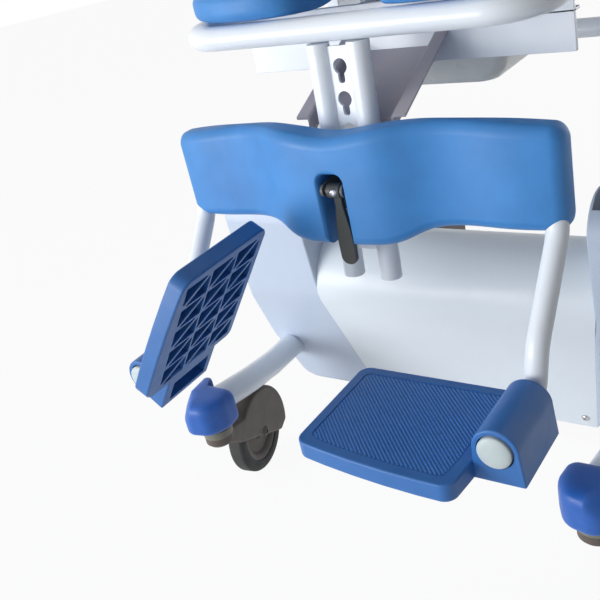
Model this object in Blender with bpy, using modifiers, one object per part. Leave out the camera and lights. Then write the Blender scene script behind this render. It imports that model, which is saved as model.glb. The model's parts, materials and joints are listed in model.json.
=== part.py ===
"""Electric shower commode chair, an assembly of separate named parts.

Metres, +Z up, the occupant faces -Y and +X is the occupant's left.
Every piece is modelled in the chair's own frame: x = 0 is the plane of symmetry,
y = 0 is the plane of the leg rail's foot and z = 0 is the floor.  The empty named
chair_origin then moves the whole chair so that the middle of its plan is at the origin.
"""
import math

import bmesh
import bpy
from mathutils import Matrix, Vector

# Bends and rounded corners are drawn in steps of at most this angle
CURVE_STEP = math.radians(30)
# How far a half that is mirrored runs past the plane of symmetry
MIRROR_LAP = 0.020
# Sides of the round pieces: a tube has 4 sides more than twice its resolution
TUBE_RESOLUTION = 2
LEG_TUBE_RESOLUTION = 3
WHEEL_STEPS = 16

# Clearances
SEAM = 0.0003            # between pieces that touch
RUNNING = 0.0003         # radial, between a pin and its bore
OPEN_PIVOT = 0.0045      # radial, where a closed linkage is opened

# Base, shells and barrel
SHELL_INNER_X = 0.205
SHELL_OUTER_X = 0.343
SHELL_WALL = 0.004
SHELL_EDGE = 0.008
SHELL_REAR_Y = 0.430
SHELL_TOP_SLOPE = math.radians(20)
SHELL_SEAM_ANGLE = math.radians(134)
SHELL_MOUTH_REAR_Z = 0.322       # of the mouth's lower edge at the rear
SHELL_TAPER_Z = 0.240            # below this the shells' inner walls lean inward
SHELL_TAPER = 0.14               # inward run of those walls for each unit of drop
BOSS_RADIUS = 0.050
BARREL_Y = 0.219
BARREL_Z = 0.242
BARREL_RADIUS = 0.073
BARREL_WALL = 0.003
APRON_LEAN = math.radians(19.06)
SKIRT_Z = 0.027
BARREL_BACK_Z = 0.100
LEG_RADIUS = 0.019
LEG_Z = 0.112
LEG_X = 0.312
LEG_ARCH_Z = 0.170
BEAM_RADIUS = 0.025
BEAM_Y = 0.250
BATTERY_SIZE = (0.200, 0.080, 0.050)
CONTROL_BOX_SIZE = (0.120, 0.070, 0.045)

# Casters
FRONT_STEM = (0.267, -0.069)
REAR_STEM = (0.290, 0.620)
FRONT_SWIVEL = math.radians(10)  # how far the front casters are turned outward at rest
WHEEL_RADIUS = 0.0625
WHEEL_WIDTH = 0.026
HUB_RADIUS = 0.046
TRAIL = 0.086
FORK_HALF_WIDTH = 0.0195
FORK_CHEEK = 0.004
HOOD_CLEARANCE = 0.003
HOOD_THICKNESS = 0.004
STEM_HUB_RADIUS = 0.0215
STEM_HUB_BOTTOM = 0.108
SOCKET_BOTTOM = 0.1345
SOCKET_RADIUS = 0.021
STEM_RADIUS = 0.008
SOCKET_TOP = LEG_ARCH_Z + LEG_RADIUS - 0.002
AXLE_RADIUS = 0.005
BUMPER_BOTTOM = 0.143
BUMPER_TOP = 0.192
BUMPER_EDGE = 0.010
PEDAL_ANGLE = math.radians(18)   # of the brake pedal's pivot round the wheel
PEDAL_GAP = 0.008                # from the hood to that pivot
PEDAL_REACH = 0.01941
PEDAL_HALF_WIDTH = 0.0163
PEDAL_PIN_RADIUS = 0.0025

# Lift linkage
ARM_PIVOT = (0.185, 0.354)       # y, z of the arm's pivot on the base
ARM_END = (0.614, 0.493)         # y, z of the arm's pivot on the carrier
LINK_OFFSET = (0.037, -0.060)    # from an arm pivot to the link pivot on the same body
ARM_X = (0.256, 0.292)
ARM_ROOT_RADIUS = 0.0455
ARM_TIP_RADIUS = 0.030
ARM_PIN_RADIUS = 0.010
CROSS_TUBE_RADIUS = 0.015
LINK_X = (0.296, 0.306)
LINK_RADIUS = 0.013
LINK_PIN_RADIUS = 0.006
PIVOT_PLATE_X = (0.308, 0.316)
LIFT_FOOT = (0.350, LEG_Z)       # y, z of the actuator's lower pin
LIFT_LUG_REACH = 0.150           # from the arm's pivot to the actuator's pin on the arm
LIFT_ACTUATOR_X = 0.231
LIFT_TUBE_RADIUS = 0.0185
LIFT_TUBE_LENGTH = 0.185
ACTUATOR_PIN_RADIUS = 0.005

# Seat carrier and tilt
TILT_PIVOT = (0.430, 0.600)
CARRIER_X = (0.230, 0.246)
CARRIER_ARM_EYE = 0.024
CARRIER_TILT_EYE = 0.022
TILT_PIN_RADIUS = 0.008
TILT_LUG_X = (0.2065, 0.2255)
TILT_LUG_RADIUS = 0.017
TILT_LUG_SPREAD = 0.020          # to each side of the pivot, where the lug meets the seat tube
TILT_FOOT = (0.597, 0.461)
TILT_HEAD = (0.370, 0.500)
TILT_ACTUATOR_X = 0.187
TILT_TUBE_RADIUS = 0.0165
TILT_TUBE_LENGTH = 0.150

# Seat
SEAT_TUBE_RADIUS = 0.014
SEAT_TUBE_Z = 0.650
SEAT_HALF_WIDTH = 0.215
SEAT_REAR_Y = 0.470
SEAT_CORNER = 0.050
CUSHION_THICKNESS = 0.045
CUSHION_HALF_WIDTH = 0.218
CUSHION_REAR_Y = 0.450
CUSHION_FRONT_Y = -0.008
APERTURE_HALF_WIDTH = 0.100
APERTURE_HALF_LENGTH = 0.125
APERTURE_MOUTH = math.radians(14)
PAN_FRONT_Y = 0.150
PAN_REAR_Y = 0.390
PAN_HALF_WIDTH = 0.125
PAN_DEPTH = 0.085
PAN_WALL = 0.003
PAN_RIM = 0.014
RAIL_LIP_Z = 0.618
RAIL_LIP_THICKNESS = 0.003
CROSS_PLATE_THICKNESS = 0.006
CROSS_PLATE_BOTTOM = 0.578

# Leg rail
RAIL_RADIUS = 0.0125
RAIL_HALF_SPACING = 0.025
RAIL_LEAN = math.radians(3)
RAIL_FOOT_Y = -0.004
RAIL_FOOT_Z = 0.366
WEB_THICKNESS = 0.004
WEB_START = 0.034                # up from the rail's foot
KEYHOLE_PITCH = 0.035
KEYHOLE_TOP = 0.244              # up from the rail's foot
KEYHOLE_COUNT = 6
KEYHOLE_RADIUS = 0.0085
KEYHOLE_SLOT_HALF = 0.0042
KEYHOLE_SLOT_LENGTH = 0.018
CHANNEL_RISE = math.radians(25)
CHANNEL_HALF_WIDTH = 0.070
CHANNEL_LIP = 0.015
CHANNEL_FLANGE = 0.018
CHANNEL_SHEET = 0.003
CHANNEL_TOP_Z = 0.556            # of the lips at CHANNEL_FRONT_Y
CHANNEL_FRONT_Y = 0.006
CHANNEL_WEB_START = 0.020

# Leg carriage, calf pad and lever
CARRIAGE_HALF_WIDTH = 0.048
CARRIAGE_BOTTOM = 0.089          # up from the rail's foot
CARRIAGE_TOP = 0.154
CARRIAGE_FRONT = -0.0195
CARRIAGE_BACK = 0.0085
PAD_HALF_WIDTH = 0.243
PAD_TOP = 0.562
PAD_SLOT_HALF = 0.015
PAD_SLOT_TOP = 0.510
LEVER_PIVOT = (-0.048, 0.491)
LEVER_HUB_RADIUS = 0.0085
LEVER_PIN_RADIUS = 0.003
LEVER_TIP_Z = 0.403
LEVER_THICKNESS = 0.006
LEVER_EAR_X = (0.0110, 0.0140)

# Footrests
FOOT_TUBE_RADIUS = 0.0115
FOOT_BAR_Y = -0.002
FOOT_BAR_Z = 0.490
FOOT_AXIS_X = 0.2245
FOOT_AXIS_Z = 0.304
FOOT_AXLE_FRONT = -0.190
ELBOW_Y = -0.0945
BLOCK_FRONT = -0.197
BLOCK_REAR = -0.109
BLOCK_RADIUS = 0.0235
BLOCK_OUTER_X = 0.2515
PLATE_TOP = 0.288
PLATE_THICKNESS = 0.020
PLATE_SKIN = 0.0035
PLATE_RIM = 0.009
PLATE_RIB = 0.003
PLATE_INNER_X = 0.014
PLATE_OUTER_X = 0.201
PLATE_REAR = -0.078
PLATE_FRONT_INNER = -0.224
PLATE_FRONT_OUTER = -0.239
PLATE_BORDER = 0.012
TREAD_DEPTH = 0.0008
RIB_COLUMNS = 5
RIB_ROWS = 3
CAP_RADIUS = 0.017
CAP_LENGTH = 0.0125
RAISED_RIGHT = math.radians(56)  # how far the occupant's right footplate is folded up

# Back, arms and controls
BACK_HALF_WIDTH = 0.190
BACK_TUBE_RADIUS = 0.0125
BACK_RECLINE = math.radians(10)
BACK_TOP_Z = 1.090
LOWER_BAR_Z = 0.735
UPPER_BAR_DROP = 0.060           # from the handles down to the upper cross bar
CROSS_BAR_RADIUS = 0.010
HANDLE_REACH = 0.120
GRIP_LENGTH = 0.077
GRIP_WALL = 0.004
BACK_PAD_LOW = 0.765
BACK_PAD_DROP = 0.040            # from the handles down to the pad's upper edge
BACK_PAD_THICKNESS = 0.050
BACK_PAD_HALF_WIDTH = 0.200
ARMREST_Z = 0.880
ARMREST_X = 0.246
ARMREST_FRONT_Y = 0.140
ARMREST_TUBE_RADIUS = 0.011
ARMREST_PIN_RADIUS = 0.008
ARMREST_HUB_RADIUS = 0.016
ARM_PAD_HALF_WIDTH = 0.026
ARM_PAD_HEIGHT = 0.029
ARM_PAD_Y = (0.150, 0.420)
PANEL_HALF_WIDTH = 0.056
PANEL_DEPTH = 0.025
PANEL_HALF_HEIGHT = 0.022
BUTTON_RADIUS = 0.008
BUTTON_COUNT = 4
BUTTON_PITCH = 0.024
BUTTON_POCKET = 0.006

# Derived places
APRON_DIRECTION = Vector((math.sin(APRON_LEAN), -math.cos(APRON_LEAN)))
APRON_TANGENT = Vector((BARREL_Y - BARREL_RADIUS * math.cos(APRON_LEAN),
                        BARREL_Z - BARREL_RADIUS * math.sin(APRON_LEAN)))
ARM_VECTOR = Vector((ARM_END[0] - ARM_PIVOT[0], ARM_END[1] - ARM_PIVOT[1]))
LINK_FOOT = (ARM_PIVOT[0] + LINK_OFFSET[0], ARM_PIVOT[1] + LINK_OFFSET[1])
LINK_HEAD = (ARM_END[0] + LINK_OFFSET[0], ARM_END[1] + LINK_OFFSET[1])
LIFT_HEAD = tuple(Vector(ARM_PIVOT) + ARM_VECTOR.normalized() * LIFT_LUG_REACH)
SEAT_FRONT_Y = RAIL_FOOT_Y + (SEAT_TUBE_Z - RAIL_FOOT_Z) * math.tan(RAIL_LEAN)
SEAT_TOP_Z = SEAT_TUBE_Z + SEAT_TUBE_RADIUS
BACK_FOOT_Z = SEAT_TOP_Z + SEAM
BACK_TOP_Y = SEAT_REAR_Y + (BACK_TOP_Z - BACK_FOOT_Z) * math.tan(BACK_RECLINE)
UPPER_BAR_Z = BACK_TOP_Z - UPPER_BAR_DROP
BACK_PAD_HIGH = BACK_TOP_Z - BACK_PAD_DROP
CHAIR_FRONT_Y = PLATE_FRONT_OUTER
HOOD_RADIUS = WHEEL_RADIUS + HOOD_CLEARANCE + HOOD_THICKNESS
PEDAL_PIVOT = (TRAIL + (HOOD_RADIUS + PEDAL_GAP) * math.cos(PEDAL_ANGLE),
               WHEEL_RADIUS + (HOOD_RADIUS + PEDAL_GAP) * math.sin(PEDAL_ANGLE))
CHAIR_REAR_Y = REAR_STEM[1] + PEDAL_PIVOT[0] + PEDAL_REACH
ORIGIN_Y = (CHAIR_FRONT_Y + CHAIR_REAR_Y) / 2

for old in list(bpy.data.objects):
    bpy.data.objects.remove(old, do_unlink=True)

PARTS = bpy.data.collections.new("electric_shower_commode_chair")
CUTTERS = bpy.data.collections.new("cutters")
for collection in (PARTS, CUTTERS):
    bpy.context.scene.collection.children.link(collection)

CHAIR = bpy.data.objects.new("chair_origin", None)
CHAIR.location = (0, -ORIGIN_Y, 0)
PARTS.objects.link(CHAIR)


def material(name, colour, roughness, metallic=0.0):
    """A Principled material from an sRGB colour."""
    made = bpy.data.materials.new(name)
    made.use_nodes = True
    shader = made.node_tree.nodes["Principled BSDF"]
    linear = [(channel / 255) ** 2.2 for channel in colour]
    shader.inputs["Base Color"].default_value = (*linear, 1.0)
    shader.inputs["Roughness"].default_value = roughness
    shader.inputs["Metallic"].default_value = metallic
    made.diffuse_color = (*linear, 1.0)
    return made


WHITE_PAINT = material("white_powder_coat", (226, 232, 238), 0.35)
BARREL_PLASTIC = material("barrel_plastic", (220, 230, 236), 0.4)
SHELL_PLASTIC = material("shell_plastic", (205, 218, 234), 0.45)
STEEL = material("zinc_plated_steel", (170, 172, 176), 0.35, 1.0)
PAD_BLUE = material("blue_foam", (110, 155, 212), 0.6)
PLATE_BLUE = material("footplate_plastic", (34, 78, 135), 0.5)
BUMPER_BLUE = material("bumper_rubber", (35, 85, 168), 0.5)
CASTER_BROWN = material("caster_plastic", (80, 70, 68), 0.5)
TYRE_GREY = material("tyre_rubber", (62, 64, 66), 0.7)
LEVER_BLACK = material("lever_plastic", (51, 56, 58), 0.4)
CAP_GREY = material("cap_plastic", (195, 205, 203), 0.45)
CHANNEL_GREY = material("channel_paint", (150, 140, 150), 0.45)
PAN_WHITE = material("pan_plastic", (235, 236, 232), 0.4)
BOX_GREY = material("case_plastic", (90, 94, 98), 0.5)


def new_object(name, mesh, location=(0, 0, 0)):
    """Link a mesh as a shape, which stays a hidden cutter until it is finished as a part."""
    made = bpy.data.objects.new(name, mesh)
    made.parent = CHAIR
    made.location = location
    made.hide_render = True
    made.display_type = "WIRE"
    CUTTERS.objects.link(made)
    return made


def mesh_from(name, work):
    """Turn a bmesh into a mesh."""
    mesh = bpy.data.meshes.new(name)
    work.normal_update()
    work.to_mesh(mesh)
    work.free()
    return mesh


def evaluated_mesh(source):
    """The mesh of an object with its modifiers, in the object's own space."""
    bpy.context.view_layer.update()
    graph = bpy.context.evaluated_depsgraph_get()
    return bpy.data.meshes.new_from_object(source.evaluated_get(graph))


def block(name, low, high):
    """A box between two corners."""
    work = bmesh.new()
    bmesh.ops.create_cube(work, size=1.0)
    low, high = Vector(low), Vector(high)
    bmesh.ops.scale(work, vec=high - low, verts=work.verts)
    bmesh.ops.translate(work, vec=(high + low) / 2, verts=work.verts)
    return new_object(name, mesh_from(name, work))


def rod(name, start, end, radius, sides=16):
    """A cylinder between two points."""
    start, end = Vector(start), Vector(end)
    along = end - start
    work = bmesh.new()
    bmesh.ops.create_cone(work, cap_ends=True, segments=sides, radius1=radius,
                          radius2=radius, depth=along.length)
    turn = along.to_track_quat("Z", "Y").to_matrix()
    bmesh.ops.rotate(work, matrix=turn, verts=work.verts)
    bmesh.ops.translate(work, vec=(start + end) / 2, verts=work.verts)
    return new_object(name, mesh_from(name, work))


def pin_x(name, x_range, place, radius, sides=12):
    """A cylinder along X, centred on a (y, z) place."""
    return rod(name, (x_range[0], *place), (x_range[1], *place), radius, sides)


def plate(name, outline, low, high, axis="X"):
    """A flat outline extruded from low to high along an axis.

    The outline is (y, z) for axis X, (x, z) for axis Y and (x, y) for axis Z.
    """
    curve = bpy.data.curves.new(name, "CURVE")
    curve.dimensions = "2D"
    curve.fill_mode = "BOTH"
    curve.extrude = (high - low) / 2
    line = curve.splines.new("POLY")
    line.points.add(len(outline) - 1)
    for point, place in zip(line.points, outline):
        point.co = (place[0], place[1], 0, 1)
    line.use_cyclic_u = True
    flat = bpy.data.objects.new(name + "_outline", curve)
    CUTTERS.objects.link(flat)
    mesh = evaluated_mesh(flat)
    bpy.data.objects.remove(flat)
    middle = (high + low) / 2
    turns = {
        "X": Matrix(((0, 0, 1, middle), (1, 0, 0, 0), (0, 1, 0, 0), (0, 0, 0, 1))),
        "Y": Matrix(((1, 0, 0, 0), (0, 0, -1, middle), (0, 1, 0, 0), (0, 0, 0, 1))),
        "Z": Matrix.Translation((0, 0, middle)),
    }
    mesh.transform(turns[axis])
    return new_object(name, welded(mesh, 0.001))


def welded(mesh, flat_angle=0.0):
    """Weld a curve's loose caps to its sides, and make each flat cap one face."""
    work = bmesh.new()
    work.from_mesh(mesh)
    bmesh.ops.remove_doubles(work, verts=work.verts, dist=0.00001)
    if flat_angle:
        bmesh.ops.dissolve_limit(work, angle_limit=flat_angle, verts=work.verts, edges=work.edges)
    bmesh.ops.recalc_face_normals(work, faces=work.faces)
    work.to_mesh(mesh)
    work.free()
    return mesh


def tube(name, path, radius, closed=False, resolution=TUBE_RESOLUTION):
    """A round tube along a list of points."""
    curve = bpy.data.curves.new(name, "CURVE")
    curve.dimensions = "3D"
    curve.bevel_depth = radius
    curve.bevel_resolution = resolution
    curve.use_fill_caps = not closed
    line = curve.splines.new("POLY")
    line.points.add(len(path) - 1)
    for point, place in zip(line.points, path):
        point.co = (*place, 1)
    line.use_cyclic_u = closed
    guide = bpy.data.objects.new(name + "_path", curve)
    CUTTERS.objects.link(guide)
    mesh = evaluated_mesh(guide)
    bpy.data.objects.remove(guide)
    return new_object(name, welded(mesh))


def turned(name, profile, location, turn=None, steps=WHEEL_STEPS):
    """A profile (radius, height), listed down its outer side, turned about the Z axis."""
    mesh = bpy.data.meshes.new(name)
    points = [(radius, 0, height) for radius, height in profile]
    closed = profile[0][0] > 0 and profile[-1][0] > 0
    edges = [(i, i + 1) for i in range(len(points) - 1)]
    if closed:
        edges.append((len(points) - 1, 0))
    mesh.from_pydata(points, edges, [])
    made = new_object(name, mesh, location)
    if turn:
        made.rotation_euler = turn
    screw = made.modifiers.new("turn", "SCREW")
    screw.steps = steps
    screw.render_steps = steps
    screw.use_merge_vertices = True
    screw.merge_threshold = 0.0001
    return made


def rounded(corners):
    """Round the corners of a closed outline; a corner is (a, b) or (a, b, radius)."""
    made = []
    count = len(corners)
    for index, corner in enumerate(corners):
        here = Vector(corner[:2])
        radius = corner[2] if len(corner) > 2 else 0
        if not radius:
            made.append(tuple(here))
            continue
        back = Vector(corners[index - 1][:2]) - here
        ahead = Vector(corners[(index + 1) % count][:2]) - here
        made += [tuple(point) for point in corner_arc(here, back, ahead, radius)]
    return made


def corner_arc(here, back, ahead, radius):
    """Points of the arc that rounds a corner between two directions."""
    half = back.angle(ahead) / 2
    reach = min(radius / math.tan(half), back.length * 0.49, ahead.length * 0.49)
    start = here + back.normalized() * reach
    end = here + ahead.normalized() * reach
    middle = here + (back.normalized() + ahead.normalized()).normalized() * reach / math.cos(half)
    first, last = start - middle, end - middle
    sweep = first.angle(last)
    steps = math.ceil(sweep / CURVE_STEP)
    points = []
    for step in range(steps + 1):
        share = step / steps
        mix = (first * math.sin((1 - share) * sweep) + last * math.sin(share * sweep)) / math.sin(sweep)
        points.append(middle + mix)
    return points


def bent(stops):
    """A tube's path: straight runs between stops (x, y, z, radius) with round bends."""
    path = []
    count = len(stops)
    for index, stop in enumerate(stops):
        here = Vector(stop[:3])
        radius = stop[3] if len(stop) > 3 else 0
        if not radius:
            path.append(here)
            continue
        back = Vector(stops[index - 1][:3]) - here
        ahead = Vector(stops[(index + 1) % count][:3]) - here
        path += corner_arc(here, back, ahead, radius)
    return path


def arc(centre, radius, start, end, steps):
    """Points of a circle's arc in a plane, angles in radians."""
    angles = [start + (end - start) * step / steps for step in range(steps + 1)]
    return [(centre[0] + radius * math.cos(a), centre[1] + radius * math.sin(a)) for a in angles]


def hull(circles, steps=16):
    """The outline of a band stretched round circles (a, b, radius)."""
    points = sorted({point for a, b, radius in circles
                     for point in arc((a, b), radius, 0, 2 * math.pi, steps)[:-1]})
    halves = []
    for row in (points, points[::-1]):
        chain = []
        for point in row:
            while len(chain) > 1 and turn_of(chain[-2], chain[-1], point) <= 1e-12:
                chain.pop()
            chain.append(point)
        halves.append(chain[:-1])
    return halves[0] + halves[1]


def turn_of(a, b, c):
    """Positive when the path a, b, c turns left."""
    return (b[0] - a[0]) * (c[1] - a[1]) - (b[1] - a[1]) * (c[0] - a[0])


def soft_section(centre, across, up, count=10, power=4.0):
    """A rounded rectangle in space: half sizes are the vectors across and up."""
    points = []
    for index in range(count):
        angle = 2 * math.pi * (index + 0.5) / count
        cosine, sine = math.cos(angle), math.sin(angle)
        size = (abs(cosine) ** power + abs(sine) ** power) ** (-1 / power)
        points.append(Vector(centre) + Vector(across) * cosine * size + Vector(up) * sine * size)
    return points


def loft(name, sections, levels=1):
    """A soft form through like sections, closed at both ends and subdivided."""
    work = bmesh.new()
    rings = [[work.verts.new(point) for point in section] for section in sections]
    count = len(sections[0])
    for first, second in zip(rings, rings[1:]):
        for index in range(count):
            ahead = (index + 1) % count
            work.faces.new((first[index], first[ahead], second[ahead], second[index]))
    work.faces.new(rings[0][::-1])
    work.faces.new(rings[-1])
    bmesh.ops.recalc_face_normals(work, faces=work.faces)
    made = new_object(name, mesh_from(name, work))
    if levels:
        smooth = made.modifiers.new("soften", "SUBSURF")
        smooth.levels = levels
        smooth.render_levels = levels
    return made


def bevel(shape, width, segments=1, limit=40):
    """Round the sharp edges."""
    made = shape.modifiers.new("edges", "BEVEL")
    made.width = width
    made.segments = segments
    made.limit_method = "ANGLE"
    made.angle_limit = math.radians(limit)
    return shape


def combine(shape, tool, operation):
    """Join, cut or trim a shape with another."""
    made = shape.modifiers.new(tool.name, "BOOLEAN")
    made.operation = operation
    made.object = tool
    made.solver = "EXACT"
    return shape


def join(shape, *tools):
    """Weld shapes onto a shape."""
    for tool in tools:
        combine(shape, tool, "UNION")
    return shape


def cut(shape, *tools):
    """Cut shapes out of a shape."""
    for tool in tools:
        combine(shape, tool, "DIFFERENCE")
    return shape


def mirror(shape):
    """Complete a half that crosses the plane x = 0."""
    made = shape.modifiers.new("other half", "MIRROR")
    made.use_bisect_axis[0] = True
    made.use_bisect_flip_axis[0] = False
    made.merge_threshold = 0.0001
    return shape


def finish(shape, name, look, origin=None):
    """Make a shape a named part, with its origin on its joint if it has one."""
    if origin is not None:
        shape.data.transform(Matrix.Translation(-Vector(origin)))
        shape.location = origin
    CUTTERS.objects.unlink(shape)
    PARTS.objects.link(shape)
    shape.name = name
    shape.hide_render = False
    shape.display_type = "TEXTURED"
    shape.data.materials.clear()
    shape.data.materials.append(look)
    shape.data.shade_smooth()
    if shape.data.polygons:
        shape.data.set_sharp_from_angle(angle=math.radians(35))
    return shape


def mirrored(part, name):
    """The left twin of a right part."""
    mesh = evaluated_mesh(part)
    place = CHAIR.matrix_world.inverted() @ part.matrix_world
    mesh.transform(place)
    mesh.transform(Matrix.Scale(-1, 4, (1, 0, 0)))
    mesh.flip_normals()
    origin = place.translation * Vector((-1, 1, 1))
    mesh.transform(Matrix.Translation(-origin))
    twin = bpy.data.objects.new(name, mesh)
    twin.parent = CHAIR
    twin.location = origin
    PARTS.objects.link(twin)
    return twin


def pair(part, name):
    """Name a finished right part for the occupant's left and add its twin on the other side."""
    part.name = name + "_left"
    return mirrored(part, name + "_right")


def at(x, place):
    """A point from x and a (y, z) place."""
    return (x, place[0], place[1])


def middle(span):
    """The middle of a low and high value."""
    return (span[0] + span[1]) / 2


# Base


def leg_path():
    """The base's side tube, from the front caster's socket to the rear one."""
    x, y = FRONT_STEM
    spread = LEG_X - x
    drop = LEG_ARCH_Z - LEG_Z
    return bent([
        (x, y, LEG_ARCH_Z),
        (x + spread * 0.02, y + 0.086, LEG_ARCH_Z - drop * 0.21, 0.15),
        (x + spread * 0.51, y + 0.169, LEG_ARCH_Z - drop * 0.60, 0.15),
        (LEG_X, y + 0.259, LEG_Z, 0.11),
        (LEG_X, SHELL_REAR_Y - 0.030, LEG_Z, 0.08),
        (REAR_STEM[0], REAR_STEM[1] - 0.100, LEG_ARCH_Z, 0.08),
        (REAR_STEM[0], REAR_STEM[1], LEG_ARCH_Z),
    ])


def base_frame():
    """Side tubes, cross beam, caster sockets and the pivot plates with their pins."""
    frame = tube("base_frame", leg_path(), LEG_RADIUS, resolution=LEG_TUBE_RESOLUTION)
    beam = rod("beam", (-MIRROR_LAP, BEAM_Y, LEG_Z), (LEG_X - LEG_RADIUS / 2, BEAM_Y, LEG_Z), BEAM_RADIUS)
    plate_line = rounded([
        (0.195, LEG_Z), (0.335, LEG_Z), (LINK_FOOT[0] + 0.024, LINK_FOOT[1], 0.02),
        (ARM_PIVOT[0] + 0.026, ARM_PIVOT[1] + 0.026, 0.02),
        (ARM_PIVOT[0] - 0.026, ARM_PIVOT[1] + 0.026, 0.02),
        (ARM_PIVOT[0] - 0.026, ARM_PIVOT[1] - 0.040, 0.02),
    ])
    pivots = plate("pivot_plate", plate_line, *PIVOT_PLATE_X)
    inside = middle(PIVOT_PLATE_X)
    arm_pin = pin_x("arm_pin", (ARM_X[0] - 0.004, inside), ARM_PIVOT, ARM_PIN_RADIUS, 16)
    link_pin = pin_x("link_pin", (LINK_X[0] - 0.002, inside), LINK_FOOT, LINK_PIN_RADIUS)
    foot_pin = pin_x("foot_pin", (LIFT_ACTUATOR_X - 0.017, LEG_X), LIFT_FOOT, LINK_PIN_RADIUS)
    join(frame, beam, pivots, arm_pin, link_pin, foot_pin)
    for end, stem in (("front", FRONT_STEM), ("rear", REAR_STEM)):
        socket = rod(end + "_socket", (*stem, SOCKET_BOTTOM), (*stem, SOCKET_TOP), SOCKET_RADIUS)
        join(frame, socket)
        bore = rod(end + "_bore", (*stem, 0.1), (*stem, LEG_ARCH_Z), STEM_RADIUS + RUNNING)
        cut(frame, bore)
    mirror(frame)
    finish(frame, "base_frame", WHITE_PAINT)


def barrel_outline():
    """The barrel's side view, from the front skirt over the top to the back edge."""
    skirt = APRON_TANGENT + APRON_DIRECTION * ((APRON_TANGENT.y - SKIRT_Z) / -APRON_DIRECTION.y)
    round_top = arc((BARREL_Y, BARREL_Z), BARREL_RADIUS, math.pi + APRON_LEAN, 0, 16)
    return [tuple(skirt)] + round_top + [(BARREL_Y + BARREL_RADIUS, BARREL_BACK_Z)]


def shell_inner_x(z):
    """The x of a side shell's inner wall at a height."""
    return SHELL_INNER_X - SHELL_TAPER * max(0, SHELL_TAPER_Z - z)


def barrel_housing():
    """The front cross housing: an open sheet over the beam, given its wall."""
    work = bmesh.new()
    edges = []
    for side in (-1, 1):
        edges.append([work.verts.new((side * (shell_inner_x(z) - SEAM), y, z)) for y, z in barrel_outline()])
    for index in range(len(edges[0]) - 1):
        work.faces.new((edges[0][index], edges[1][index], edges[1][index + 1], edges[0][index + 1]))
    housing = new_object("barrel_sheet", mesh_from("barrel_sheet", work))
    wall = housing.modifiers.new("wall", "SOLIDIFY")
    wall.thickness = BARREL_WALL
    wall.offset = -1
    finish(housing, "barrel_housing", BARREL_PLASTIC)


def inner_pieces():
    """The battery pack and the control box on the beam, inside the barrel."""
    floor = LEG_Z + BEAM_RADIUS + SEAM
    for name, size, x, look in (("battery_pack", BATTERY_SIZE, -0.085, BOX_GREY),
                                ("control_box", CONTROL_BOX_SIZE, 0.110, LEVER_BLACK)):
        low = (x - size[0] / 2, BEAM_Y - size[1] / 2 - 0.008, floor)
        high = (x + size[0] / 2, BEAM_Y + size[1] / 2 - 0.008, floor + size[2])
        finish(bevel(block(name, low, high), 0.004), name, look)


def shell_outline(inset=0.0):
    """A side shell's side view: apron, straight front, boss, sloping top and rear."""
    normal = Vector((APRON_DIRECTION.y, -APRON_DIRECTION.x))
    low = SKIRT_Z + inset
    tangent = APRON_TANGENT - normal * inset
    skirt = tangent + APRON_DIRECTION * ((tangent.y - low) / -APRON_DIRECTION.y)
    boss = arc(ARM_PIVOT, BOSS_RADIUS - inset, math.pi, math.pi / 2 - SHELL_TOP_SLOPE, 7)
    last = boss[-1]
    rear = SHELL_REAR_Y - inset
    rear_top = last[1] - (rear - last[0]) * math.tan(SHELL_TOP_SLOPE)
    return rounded([
        (skirt.x, skirt.y, 0.012), tuple(tangent),
        (BARREL_Y - BARREL_RADIUS + inset, BARREL_Z + 0.006),
        *boss,
        (rear, rear_top, 0.045), (rear - 0.015, low, 0.030),
    ])


def shell_front_view(inset=0.0):
    """A side shell's front view, with its rounded outer bottom corner."""
    outer = SHELL_OUTER_X - inset
    inner = SHELL_INNER_X + inset
    low = SKIRT_Z + inset
    high = ARM_PIVOT[1] + BOSS_RADIUS + 0.01
    return rounded([
        (inner, low), (outer - 0.040, low, 0.02), (outer - 0.018, low + 0.012, 0.02),
        (outer - 0.001, low + 0.108, 0.06), (outer, high), (inner, high),
    ])


def tapered(shape):
    """A copy of a side shell's body whose inner side leans inward below its straight part."""
    work = bmesh.new()
    work.from_mesh(evaluated_mesh(shape))
    geometry = work.verts[:] + work.edges[:] + work.faces[:]
    bmesh.ops.bisect_plane(work, geom=geometry, dist=0.00001,
                           plane_co=(0, 0, SHELL_TAPER_Z), plane_no=(0, 0, 1))
    for vert in work.verts:
        share = (SHELL_OUTER_X - vert.co.x) / (SHELL_OUTER_X - SHELL_INNER_X)
        vert.co.x -= share * (SHELL_INNER_X - shell_inner_x(vert.co.z))
    return new_object(shape.name + "_tapered", mesh_from(shape.name, work))


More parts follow.
